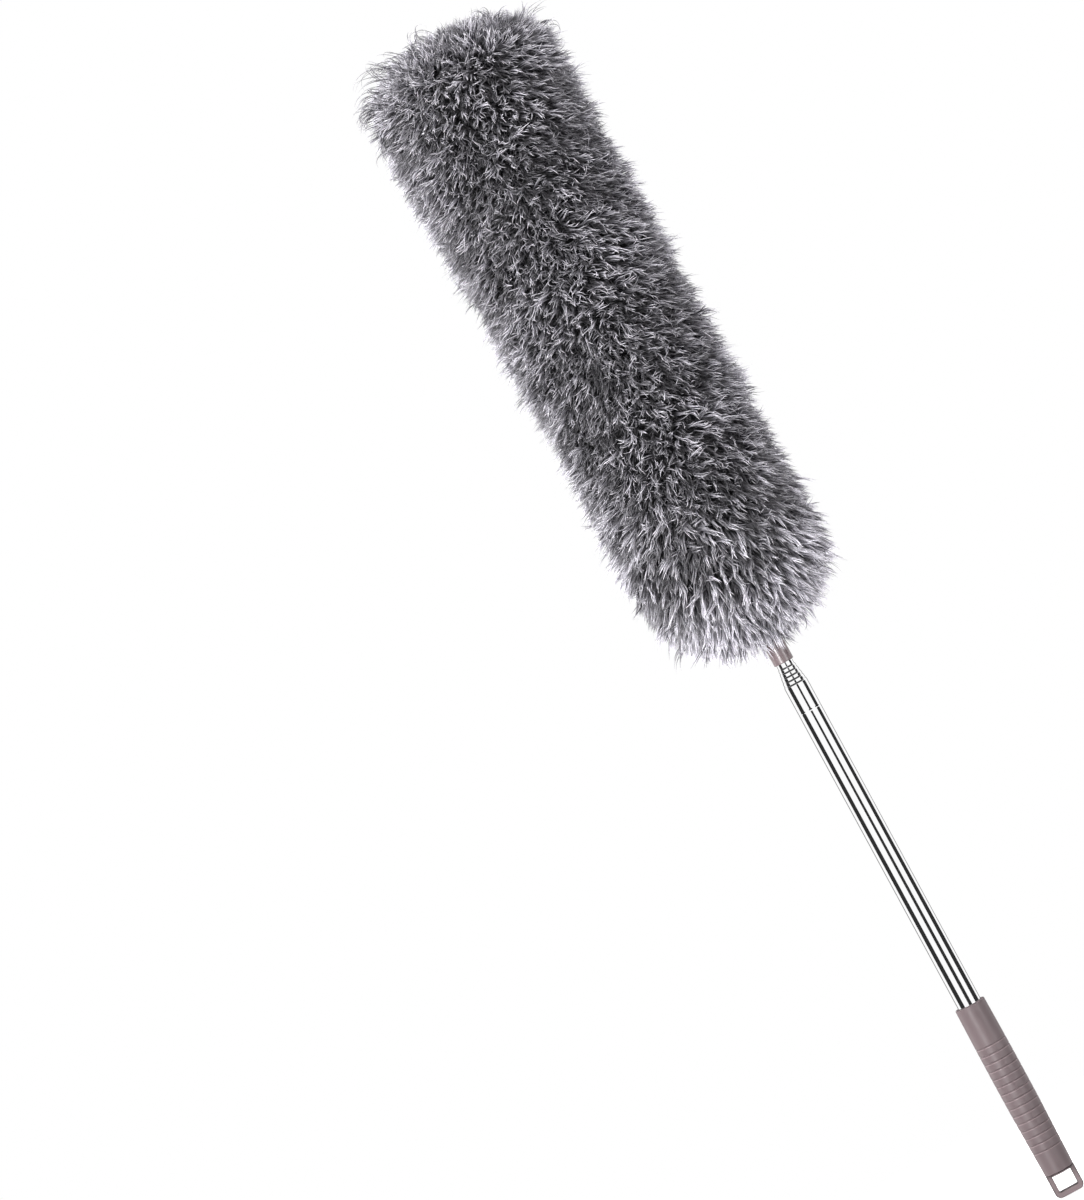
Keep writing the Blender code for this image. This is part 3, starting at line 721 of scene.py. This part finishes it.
def make_hanging_loop(finish):
    """The bail on its flanged stem: turned, flattened, opened through, then softened along its edges."""
    opening, (flange, seam) = LOOP_OPENING_HALF_WIDTH, LOOP_FLANGE
    barb, barb_radius = LOOP_BARB
    outline = [
        (0.0, 0.0), *quarter((LOOP_RADIUS - LOOP_CORNER, LOOP_CORNER), LOOP_CORNER, 3, 10),
        (LOOP_RADIUS, seam), (LOOP_STEM_RADIUS, seam), (LOOP_STEM_RADIUS, barb), (barb_radius, barb),
        (LOOP_STEM_RADIUS, LOOP_TOP), (0.0, LOOP_TOP),
    ]
    loop = new_piece("hanging_loop_moulding", turned(outline), finish)
    beyond = LOOP_RADIUS + 2.0 * MM
    cuts = (
        ((-opening, -beyond, LOOP_BAR), (opening, beyond, flange)),
        ((-beyond, -beyond, -beyond), (beyond, -LOOP_HALF_DEPTH, flange)),
        ((-beyond, LOOP_HALF_DEPTH, -beyond), (beyond, beyond, flange)),
    )
    cutters = [box_cutter(low, high) for low, high in cuts]
    for cutter in cutters:
        cut = loop.modifiers.new("cut", "BOOLEAN")
        cut.operation = "DIFFERENCE"
        cut.solver = "EXACT"
        cut.object = cutter
    remesh = loop.modifiers.new("remesh", "REMESH")
    remesh.mode = "VOXEL"
    remesh.voxel_size = LOOP_VOXEL
    soften = loop.modifiers.new("soften", "SMOOTH")
    soften.factor = 0.5
    soften.iterations = LOOP_SOFTENING
    apply_modifiers(loop)
    loop.data.shade_smooth()
    for cutter in cutters:
        bpy.data.objects.remove(cutter)
    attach(loop, "loop")
    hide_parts("hanging_loop")


def tube_wall(section, bottom, top):
    """(inset, height) points up the outer side of a tube; the inner side follows it."""
    line = [(0.0, bottom)]
    if section > 1:
        shoulder = bottom + NECK_LENGTH
        line = [(NECK_DEPTH, bottom), (NECK_DEPTH, shoulder)]
        for share in (0.25, 0.5, 0.75, 1.0):
            inset = NECK_DEPTH * (0.5 + 0.5 * math.cos(math.pi * share))
            line.append((inset, shoulder + NECK_TAPER * share))
    if section < SECTIONS:
        ring = top - RING_BELOW_RIM
        for off in np.linspace(-1.0, 1.0, 11):
            line.append((RING_DEPTH * (0.5 + 0.5 * math.cos(math.pi * off)), ring + off * RING_HALF_WIDTH))
    line += [(0.0, top - RIM_HEIGHT), (0.85 * RIM_INSET, top - 0.05 * RIM_HEIGHT), (RIM_INSET, top)]
    return line


def make_tube(section, finish):
    """One polished tube, with its neck, its rolled ring and its swaged rim."""
    node = f"tube_{section}"
    low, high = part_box(node)
    line = tube_wall(section, low.z, high.z)
    outside = [(high.x - inset, height) for inset, height in line]
    inside = []
    for inset, height in reversed(line):
        if height > high.z - RIM_HEIGHT:
            inset = min(inset, RIM_INSET_INSIDE)
        inside.append((high.x - TUBE_WALL - inset, height))
    shape = turned(supported(outside + inside))
    tube = new_piece(f"steel_{node}", shape, finish, sharp=15.0)
    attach(tube, f"section_{section}")
    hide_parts(node)
    return tube


def make_socket(finish):
    """The head's collar over the pole's tip, with its flange and stub."""
    edge = SOCKET_EDGE
    radius, bottom, top = SOCKET_FLANGE
    outline = [
        (0.0, SOCKET_THREAD[1]), SOCKET_THREAD, (SOCKET_THREAD[0], SOCKET_SHOULDER),
        (SOCKET_BORE, SOCKET_SHOULDER), (SOCKET_BORE, SOCKET_LOW + SOCKET_CHAMFER),
        (SOCKET_BORE + SOCKET_CHAMFER, SOCKET_LOW),
        *quarter((SOCKET_RADIUS - edge, SOCKET_LOW + edge), edge, 3), (SOCKET_RADIUS, bottom),
        (radius - edge, bottom), (radius, bottom + edge), (radius, top - edge), (radius - edge, top),
        (SOCKET_STUB_RADIUS, top), (SOCKET_STUB_RADIUS, SOCKET_HIGH), (WIRE_HOLE[0], SOCKET_HIGH),
        WIRE_HOLE, (0.0, WIRE_HOLE[1]),
    ]
    socket = new_piece("socket_moulding", turned(supported(outline)), finish)
    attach(socket, "section_6")
    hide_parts("head_socket")


def swell(corner, share):
    """Move a mesh corner away from the pole's axis."""
    corner.co.x *= share
    corner.co.y *= share


def make_hem(finish):
    """The sleeve's gathered elastic hem round the socket."""
    outline = []
    for step in range(20):
        angle = step / 20.0 * math.tau
        radius = (HEM_BORE + HEM_RADIUS) / 2.0 + (HEM_RADIUS - HEM_BORE) / 2.0 * math.cos(angle)
        outline.append((radius, (HEM_LOW + HEM_HIGH) / 2.0 + (HEM_HIGH - HEM_LOW) / 2.0 * math.sin(angle)))
    shape = turned(outline, 176)
    for corner in shape.verts:
        radius = math.hypot(corner.co.x, corner.co.y)
        outer = (radius - HEM_BORE) / (HEM_RADIUS - HEM_BORE)
        swell(corner, 1.0 + HEM_GATHER * outer * math.cos(HEM_FOLDS * math.atan2(corner.co.y, corner.co.x)))
    hem = new_piece("gathered_hem", shape, finish, sharp=80.0)
    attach(hem, "section_6")
    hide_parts("sleeve_hem")


# ---- the head's regions

def head_regions():
    """(name, lowest, highest, bend) of stretches that bend across one joint, or ride whole if it is None."""
    cuts = [BENDS[0] - BLEND_REACH]
    cuts += [(below + above) / 2.0 for below, above in zip(BENDS, BENDS[1:])]
    cuts.append(BENDS[-1] + BLEND_REACH)
    regions = [("base", -1.0, cuts[0], None)]
    regions += [(f"bend_{bend + 1}", cuts[bend], cuts[bend + 1], bend) for bend in range(len(BENDS))]
    regions.append(("tip", cuts[-1], 2.0, None))
    return regions


def head_body(index):
    """The body below bend number index, counted from 0."""
    return "section_6" if index == 0 else f"head_{index + 1}"


def join_to_head(piece, name, bend):
    """Bake the transform into a piece of the head that spans a bend, or let it ride whole on the first or the
    last segment.
    """
    if bend is None:
        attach(piece, "section_6" if name == "base" else head_body(len(BENDS)))
        return
    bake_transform(piece)


def stood_for(kind, name, bend):
    """The CAD nodes of one kind that a stretch of the head stands for."""
    if name == "base":
        return [f"{kind}_1"]
    if name == "tip":
        return [f"{kind}_{len(BENDS) + 1}"]
    return [f"{kind}_{bend + 1}", f"{kind}_{bend + 2}"]


# ---- the pile's surface

def superellipse(radius, height, power, steps):
    """(radius, depth) points of a rounded end, from the axis out to full radius."""
    angle = np.linspace(0.0, math.pi / 2.0, steps)
    out = radius * np.sin(angle) ** (2.0 / power)
    depth = height * (1.0 - np.clip(np.cos(angle), 0.0, 1.0) ** (2.0 / power))
    return out, depth


def pile_line(inset):
    """Radius, height and outward normal along the pile, from the mouth up to the tip, inset from its skin."""
    out, depth = superellipse(PILE_RADIUS, BASE_HEIGHT, BASE_POWER, END_POINTS)
    base = np.column_stack((out, PILE_LOW + depth))[out > PILE_MOUTH]
    out, depth = superellipse(PILE_RADIUS, TIP_HEIGHT, TIP_POWER, END_POINTS)
    tip = np.column_stack((out, PILE_HIGH - depth))[::-1]
    line = np.vstack((base, tip))
    length = np.concatenate(([0.0], np.cumsum(np.linalg.norm(np.diff(line, axis=0), axis=1))))
    even = np.linspace(0.0, length[-1], LINE_POINTS)
    line = np.column_stack([np.interp(even, length, line[:, axis]) for axis in (0, 1)])
    slope = np.gradient(line, axis=0)
    slope /= np.linalg.norm(slope, axis=1, keepdims=True)
    normal = np.column_stack((slope[:, 1], -slope[:, 0]))
    line = line - normal * inset
    keep = line[:, 0] >= 0.0
    return line[keep], normal[keep]


def about_axis(angle, radius, height):
    """Points or vectors at angles, radii and heights about the pole's axis."""
    return np.column_stack((radius * np.cos(angle), radius * np.sin(angle), height + 0.0 * angle))


def smooth_field(rng, angle, height, most_turns, wavelength, waves=7):
    """A smooth random value of about -1 to 1 over the pile, made of a few waves."""
    total = np.zeros_like(angle)
    for _ in range(waves):
        turns = rng.integers(1, most_turns + 1)
        rise = rng.normal() * math.tau / wavelength
        total += np.sin(turns * angle + rise * height + rng.uniform(0.0, math.tau))
    return total / math.sqrt(waves)


def spread_points(rng, count):
    """Even points over the pile's skin: angle, place and outward normal."""
    line, normal = pile_line(SKIN_INSET)
    strip = (line[1:, 0] + line[:-1, 0]) / 2.0 * np.linalg.norm(np.diff(line, axis=0), axis=1)
    share = np.concatenate(([0.0], np.cumsum(strip))) / strip.sum()
    where = (np.arange(count) + rng.uniform(0.0, 1.0, count)) / count
    angle = (np.arange(count) * GOLDEN_ANGLE + rng.normal(0.0, 0.02, count)) % math.tau
    radius = np.interp(where, share, line[:, 0])
    height = np.interp(where, share, line[:, 1])
    out = np.interp(where, share, normal[:, 0])
    rise = np.interp(where, share, normal[:, 1])
    return angle, about_axis(angle, radius, height), about_axis(angle, out, rise)


def unit(vectors):
    """Vectors scaled to length one."""
    return vectors / np.maximum(np.linalg.norm(vectors, axis=-1, keepdims=True), 1e-9)


def smooth_step(value):
    """0 below 0 and 1 above 1, with a smooth rise between."""
    share = np.clip(value, 0.0, 1.0)
    return share * share * (3.0 - 2.0 * share)


def parting(angle, height):
    """1 in the middle of the place low on the front where the pile parts, falling off smoothly round it."""
    centre, half_angle, middle, half_height = PARTING
    aside = (np.degrees(angle) - centre + 180.0) % 360.0 - 180.0
    return np.exp(-(aside / half_angle) ** 2 - ((height - middle) / half_height) ** 2)


def base_share(height):
    """1 at the head's base, where the strands hang long and straight, falling to 0 above it."""
    return smooth_step((PILE_LOW + BASE_HANG[0] - height) / BASE_HANG[1])


def end_light(place):
    """Painted light: how much lighter the strands are coloured at the head's two ends, and more on the tip's
    left side.
    """
    more, below, over = BASE_PAINTED_LIGHT
    light = 1.0 + more * smooth_step((below - place[:, 2]) / over)
    more, above, over = TIP_PAINTED_LIGHT
    more = more + TIP_LEFT_PAINTED_LIGHT * smooth_step(-place[:, 0] / PILE_RADIUS)
    return light * (1.0 + more * smooth_step((place[:, 2] - above) / over))


# ---- strands

def strand_corners(steps, paths, half_widths, facing):
    """The corners of tapering strands: three to a ring up to the last step, which is the tip."""
    rings = len(steps) - 1
    tangent = unit(np.gradient(paths, axis=1))
    side = unit(np.cross(tangent, facing[:, None, :]))
    lift = np.cross(side, tangent)
    step = np.array(steps[:rings])
    taper = (0.55 + 0.45 * np.sin(np.minimum(step / 0.65, 1.0) * math.pi / 2.0)) * (1.0 - step ** 3.2) ** 0.85
    wide = (half_widths[:, None] * taper)[:, :, None]
    corners = []
    for turn in (90.0, 210.0, 330.0):
        angle = math.radians(turn)
        offset = math.cos(angle) * wide * side[:, :rings]
        offset = offset + STRAND_FLATNESS * math.sin(angle) * wide * lift[:, :rings]
        corners.append(paths[:, :rings] + offset)
    ringed = np.stack(corners, axis=2).reshape(len(paths), rings * 3, 3)
    return np.concatenate((ringed, paths[:, -1:]), axis=1).reshape(-1, 3)


def strand_faces(rings):
    """The corners of one strand's faces, its sides before its ends, and each face's number of corners."""
    quads = []
    for low in range(0, (rings - 1) * 3, 3):
        for corner in range(3):
            after = (corner + 1) % 3
            quads.append((low + corner, low + after, low + 3 + after, low + 3 + corner))
    top = (rings - 1) * 3
    ends = [(top, top + 1, top + 3), (top + 1, top + 2, top + 3), (top + 2, top, top + 3), (2, 1, 0)]
    return np.concatenate([np.ravel(face) for face in quads + ends]), [4] * len(quads) + [3] * len(ends)


def strand_uv(count, rings, share):
    """A place on the bake sheet for every corner: one cell of a square grid per strand."""
    cells = math.ceil(math.sqrt(count))
    across = np.concatenate((np.tile([0.15, 0.5, 0.85], rings), [0.5]))
    cell = np.arange(count)
    u = ((cell % cells)[:, None] + across[None, :]) / cells
    v = ((cell // cells)[:, None] + 0.1 + 0.8 * share[None, :]) / cells
    return np.column_stack((u.ravel(), v.ravel()))


def strand_mesh(name, steps, paths, half_widths, facing, tint, finish):
    """Closed three-sided strands. paths is (strands, steps, 3), and the last step is the tip."""
    count = len(paths)
    rings = len(steps) - 1
    in_strand = rings * 3 + 1
    points = strand_corners(steps, paths, half_widths, facing)
    pattern, sizes = strand_faces(rings)
    loops = (pattern[None, :] + np.arange(count)[:, None] * in_strand).ravel()
    starts = np.concatenate(([0], np.cumsum(np.tile(sizes, count))[:-1]))

    mesh = bpy.data.meshes.new(name)
    mesh.vertices.add(len(points))
    mesh.vertices.foreach_set("co", points.astype(np.float32).ravel())
    mesh.loops.add(len(loops))
    mesh.loops.foreach_set("vertex_index", loops.astype(np.int32))
    mesh.polygons.add(len(starts))
    mesh.polygons.foreach_set("loop_start", starts.astype(np.int32))
    mesh.update(calc_edges=True)

    share = np.concatenate((np.repeat(steps[:rings], 3), [1.0]))
    for attribute, values in (("along", np.tile(share, count)), ("tint", np.repeat(tint, in_strand))):
        layer = mesh.attributes.new(attribute, "FLOAT", "POINT")
        layer.data.foreach_set("value", values.astype(np.float32))
    layer = mesh.uv_layers.new(name="OFBake")
    layer.data.foreach_set("uv", strand_uv(count, rings, share)[loops].astype(np.float32).ravel())
    mesh.materials.append(finish)
    mesh.shade_smooth()
    piece = add_object(name, mesh)
    return piece


def plan_locks(rng, coat):
    """Where each lock of a coat grows, and how it lies."""
    locks = coat.strands // coat.in_lock
    angle, place, facing = spread_points(rng, locks)
    height = place[:, 2]
    base = base_share(height)
    capped = np.clip(facing[:, 2], 0.0, 1.0)
    flat_end = np.abs(facing[:, 2])
    outward = about_axis(angle, 1.0, 0.0)
    around = np.cross(UP, outward)

    swirl = coat.swirl * (1.0 - 0.3 * base) * smooth_field(rng, angle, height, *SWIRL_WAVES)
    swirl += (coat.stray * (1.0 - 0.2 * base) + TIP_TOUSLE * capped) * rng.normal(0.0, 1.0, locks)
    spill = outward * (capped + 0.25)[:, None] - UP * (1.0 - capped)[:, None]
    lean = unit(spill * np.cos(swirl)[:, None] + around * np.sin(swirl)[:, None])
    reach = (coat.reach + coat.base_reach * base) * rng.uniform(*LOCK_REACH, locks)
    reach *= 1.0 - 0.5 * flat_end
    rise = coat.rise + rng.normal(0.0, coat.uneven, locks)
    # each lock's random tone, times the painted light at the head's two ends
    lock_tone_and_painted_light = np.exp(rng.normal(0.0, coat.lock_contrast, locks)) * end_light(place) ** coat.end_light
    for turns, wavelength, lightness, lift in BLOTCHES:
        blotch = smooth_field(rng, angle, height, turns, wavelength)
        rise += lift * blotch
        lock_tone_and_painted_light *= np.exp(lightness * blotch)
    parted = parting(angle, height)
    rise -= PARTING_DROP * parted
    # painted shade in the parting
    lock_tone_and_painted_light *= np.exp(-PARTING_PAINTED_SHADE * parted)
    hook = coat.curl * rng.uniform(*LOCK_HOOK, locks) * (1.0 - 0.4 * base)
    hook_phase = rng.uniform(0.0, math.tau, locks)
    hook_turns = rng.uniform(*LOCK_HOOK_TURNS, locks)
    vectors = (place, facing, lean, unit(np.cross(facing, lean)))
    return vectors, (base, reach, rise, lock_tone_and_painted_light, hook, hook_phase, hook_turns)


def grow_coat(rng, coat):
    """One coat of the pile, in locks: the strands' paths, half widths, facing and tint."""
    vectors, measures = plan_locks(rng, coat)
    owner = np.repeat(np.arange(len(measures[0])), coat.in_lock)
    count = len(owner)
    place, facing, lean, across = (values[owner][:, None, :] for values in vectors)
    base, reach, rise, lock_tone_and_painted_light, hook, phase, turns = (values[owner][:, None, None] for values in measures)
    ahead = np.cross(across, facing)
    steps = np.array(coat.steps)[None, :, None]
    t = steps * rng.uniform(*STRAND_LENGTH, count)[:, None, None]
    offset = rng.normal(0.0, 1.0, (count, 2, 1)) * coat.lock_radius
    shrink = 1.0 - (coat.gather + BASE_GATHER * base) * t ** 1.3
    scatter = rng.normal(0.0, coat.scatter, (count, 1, 3)) * (1.0 - 0.5 * base)
    ending = np.clip((steps - KICK_FROM) / (1.0 - KICK_FROM), 0.0, 1.0) ** 1.5
    kick = rng.normal(0.0, coat.kick, (count, 1, 3)) * (1.0 - 0.5 * base)
    swing = np.sin(math.tau * turns * t + phase) - np.sin(phase)

    paths = place + (across * offset[:, :1] + ahead * offset[:, 1:]) * shrink
    paths = paths + facing * (-MAT_DEPTH + (MAT_DEPTH + rise) * t ** 0.85)
    paths = paths + lean * reach * (t ** 1.8 - LEAN_BACK)
    paths = paths + scatter * t ** 1.5 + across * hook * swing * t
    paths = paths + kick * ending
    half_widths = rng.uniform(*coat.half_width, count) * (1.0 + 0.6 * base[:, 0, 0])
    roll = unit(facing[:, 0] + rng.normal(0.0, STRAND_ROLL, (count, 3)))
    tint = coat.light * lock_tone_and_painted_light[:, 0, 0] * np.exp(rng.normal(0.0, coat.contrast, count))
    return paths, half_widths, roll, np.minimum(tint, TINT_LIMIT)


def grow_curls(rng, patch):
    """Loose strands in wisps, whose strands curl the same way."""
    wisps = patch.wisps
    line, normal = pile_line(SKIN_INSET)
    first, last = np.searchsorted(line[:, 1], patch.heights)
    pick = rng.integers(first, last, wisps)
    radius, height = line[pick].T
    out, rise = normal[pick].T
    leftward = rng.uniform(0.0, 1.0, wisps) < patch.leftward
    angle_left = math.pi + rng.normal(0.0, patch.spread, wisps)
    angle = np.where(leftward, angle_left, rng.uniform(0.0, math.tau, wisps))
    outward = about_axis(angle, 1.0, 0.0)
    facing = about_axis(angle, out, rise)
    root = about_axis(angle, radius, height) - facing * CURL_ROOT
    ahead = patch.lift * facing + CURL_OUTWARD * outward + rng.normal(0.0, patch.wander, (wisps, 3))
    aside = rng.normal(0.0, CURL_ASIDE, (wisps, 3)) - UP
    length = rng.uniform(*patch.length, wisps)
    turn = rng.uniform(*patch.turn, wisps)

    owner = np.repeat(np.arange(wisps), patch.in_wisp)
    count = len(owner)
    root = root[owner] + rng.normal(0.0, WISP_RADIUS / 2.0, (count, 3))
    ahead = unit(unit(ahead)[owner] + rng.normal(0.0, WISP_SPREAD, (count, 3)))
    aside = aside[owner]
    aside = unit(aside - ahead * np.sum(aside * ahead, axis=1, keepdims=True))
    length = CURL_ROOT + length[owner] * rng.uniform(*CURL_LENGTH, count)
    turn = turn[owner] * rng.uniform(*CURL_TURN, count)
    bend = turn[:, None] * np.array(CURL_STEPS[:-1]) ** CURL_TIGHTENING
    strides = ahead[:, None, :] * np.cos(bend)[:, :, None] + aside[:, None, :] * np.sin(bend)[:, :, None]
    strides *= (length[:, None] * np.diff(CURL_STEPS))[:, :, None]
    paths = np.concatenate((np.zeros((count, 1, 3)), np.cumsum(strides, axis=1)), axis=1) + root[:, None, :]
    half_widths = rng.uniform(*patch.half_width, count)
    tint = patch.light * np.exp(rng.normal(0.0, CURL_CONTRAST, count))
    return paths, half_widths, facing[owner], tint


def hang_left(paths):
    """Let the pile hang to the left and swell, more so high on the head."""
    low, high = SWAY_HEIGHTS
    share = smooth_step((paths[:, :, 2] - low) / (high - low))
    paths[:, :, :2] *= (1.0 + SWELL * share)[:, :, None]
    paths[:, :, 0] -= SWAY[0] + (SWAY[1] - SWAY[0]) * share
    return paths


def shorten(paths, extent, limit):
    """Shorten each strand so far that its extent, given at each of its steps, stays within a limit."""
    root = extent[:, 0]
    share = (limit - root) / np.maximum(extent.max(axis=1) - root, 1e-9)
    return paths[:, :1] + (paths - paths[:, :1]) * np.clip(share, 0.0, 1.0)[:, None, None]


def keep_inside(paths):
    """Keep the strands in the room that the pile has round the CAD head."""
    paths = shorten(paths, np.hypot(paths[:, :, 0], paths[:, :, 1]), REACH_LIMIT)
    return shorten(paths, paths[:, :, 2], TOP_LIMIT)


def lay_strands(name, steps, strands, finish):
    """A piece of one kind of strand per stretch of the head that has any; returns (piece, region, bend)s."""
    paths = keep_inside(hang_left(strands[0]))
    root = paths[:, 0, 2]
    pieces = []
    for region, low, high, bend in head_regions():
        here = (root >= low) & (root < high)
        if not here.any():
            continue
        chosen = [values[here] for values in (paths, *strands[1:])]
        piece = strand_mesh(f"{name}_{region}", steps, *chosen, finish)
        join_to_head(piece, region, bend)
        pieces.append((piece, region, bend))
    return pieces


def make_pile(finish):
    """The strands: a dense undercoat, a looser overcoat, and loose wisps."""
    rng = np.random.default_rng(23)
    for coat in COATS:
        for piece, region, bend in lay_strands(coat.name, coat.steps, grow_coat(rng, coat), finish):
            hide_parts(*stood_for("pile_sleeve", region, bend))
    for patch in CURLS:
        lay_strands(f"loose_{patch.name}", CURL_STEPS, grow_curls(rng, patch), finish)


def turned_region(outline, low, high, sides):
    """Turn the part of an outline between two heights, cut straight across, into a closed ring."""
    shape = turned(outline, sides)
    for height, keep_above in ((low, True), (high, False)):
        geometry = shape.verts[:] + shape.edges[:] + shape.faces[:]
        cut = bmesh.ops.bisect_plane(
            shape, geom=geometry, plane_co=(0.0, 0.0, height), plane_no=(0.0, 0.0, 1.0),
            clear_inner=keep_above, clear_outer=not keep_above,
        )
        rim = [item for item in cut["geom_cut"] if isinstance(item, bmesh.types.BMEdge)]
        if rim:
            bmesh.ops.bridge_loops(shape, edges=rim)
    bmesh.ops.recalc_face_normals(shape, faces=shape.faces)
    return shape


def make_core_foam(finish):
    """The foam round the wire, whole across every bend."""
    low_round, high_round = FOAM_ROUNDING
    heights = np.arange(FOAM_LOW + high_round, FOAM_HIGH - high_round, FOAM_STEP)
    lower = []
    upper = []
    for step in range(7):
        angle = step * math.pi / 12.0
        radius = FOAM_BORE + (FOAM_RADIUS - FOAM_BORE) * math.sin(angle)
        lower.append((radius, FOAM_LOW + low_round * (1.0 - math.cos(angle))))
        upper.append((radius, FOAM_HIGH - high_round * (1.0 - math.cos(angle))))
    outline = lower + [(FOAM_RADIUS, height) for height in heights] + upper[::-1]
    outline += [(FOAM_BORE, height) for height in heights[::-1]]
    rng = np.random.default_rng(5)
    for name, low, high, bend in head_regions():
        shape = turned_region(outline, low, high, 64)
        for corner in shape.verts:
            if math.hypot(corner.co.x, corner.co.y) > FOAM_BORE * 1.5 and low + MM < corner.co.z < high - MM:
                corner.co *= 1.0 - FOAM_UNEVEN * rng.random()
        piece = new_piece(f"foam_{name}", shape, finish, sharp=60.0)
        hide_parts(*stood_for("core_foam", name, bend))
        join_to_head(piece, name, bend)


def make_pile_mat(finish):
    """The sleeve's backing with its matted under-pile, which the strands stand in."""
    line, _ = pile_line(SKIN_INSET + MAT_DEPTH)
    inner = FOAM_RADIUS + 1.0 * MM
    outer = [(radius, height) for radius, height in line[::6] if radius > inner + 1.0 * MM]
    outline = outer + [(inner, height) for height in np.linspace(outer[-1][1], outer[0][1], 60)]
    rng = np.random.default_rng(11)
    waves = []
    for _ in range(MAT_WAVES):
        turns = rng.integers(*MAT_WAVE_TURNS)
        waves.append((turns, rng.normal() * MAT_WAVE_CLIMB, rng.uniform(0.0, math.tau)))
    for name, low, high, bend in head_regions():
        shape = turned_region(outline, low, high, 144)
        for corner in shape.verts:
            radius = math.hypot(corner.co.x, corner.co.y)
            if radius < inner + 2.0 * MM:
                continue
            angle = math.atan2(corner.co.y, corner.co.x)
            lump = sum(math.sin(turns * angle + climb * corner.co.z + shift) for turns, climb, shift in waves)
            swell(corner, 1.0 + MAT_LUMP * lump / radius)
        piece = new_piece(f"pile_backing_{name}", shape, finish, sharp=75.0)
        join_to_head(piece, name, bend)


# ---- CAD pieces that keep their shape

def finish_cad_nodes(finishes):
    """Better materials on the CAD nodes whose shape stays."""
    for name, item in frame["nodes"].items():
        slot = next((slot for start, slot in KEPT_NODES if name.startswith(start)), None)
        if slot is None:
            continue
        item.data.materials.clear()
        item.data.materials.append(finishes[slot])


def main():
    bpy.context.scene.view_settings.view_transform = "Standard"
    make_camera()
    make_world()
    lights = make_lights()
    make_floor()
    mauve = plastic_material("mauve_plastic", (0.161, 0.122, 0.128), (0.181, 0.139, 0.145), 0.42, 0.45)
    # painted highlights on the grip's lips, with a lower roughness there
    paint_lip_highlights_and_gloss(mauve)
    loop_mauve = plastic_material("mauve_loop", (0.232, 0.178, 0.185), (0.260, 0.200, 0.208), 0.42, 0.45)
    shade_edges(loop_mauve)
    socket = plastic_material("socket_plastic", (0.180, 0.136, 0.142), (0.205, 0.156, 0.162), 0.28, 0.85)
    nylon = plastic_material("nylon", (0.66, 0.65, 0.61), (0.76, 0.75, 0.71), 0.45, 0.5)
    steel = steel_material()
    finish_cad_nodes({"nylon": nylon, "core_wire": wire_material(), "rubber": rubber_material()})
    make_grip(mauve)
    make_hanging_loop(loop_mauve)
    keep_lights_off([make_tube(section, steel) for section in range(1, SECTIONS + 1)], lights)
    make_socket(socket)
    make_hem(cloth_material("hem_cloth", (0.020, 0.019, 0.024), (0.085, 0.082, 0.092), 900.0))
    make_core_foam(foam_material())
    # The backing's near black colour is painted shade deep in the pile.
    make_pile_mat(cloth_material("pile_backing", (0.006, 0.006, 0.008), (0.018, 0.017, 0.021), 420.0))
    make_pile(pile_material())


main()
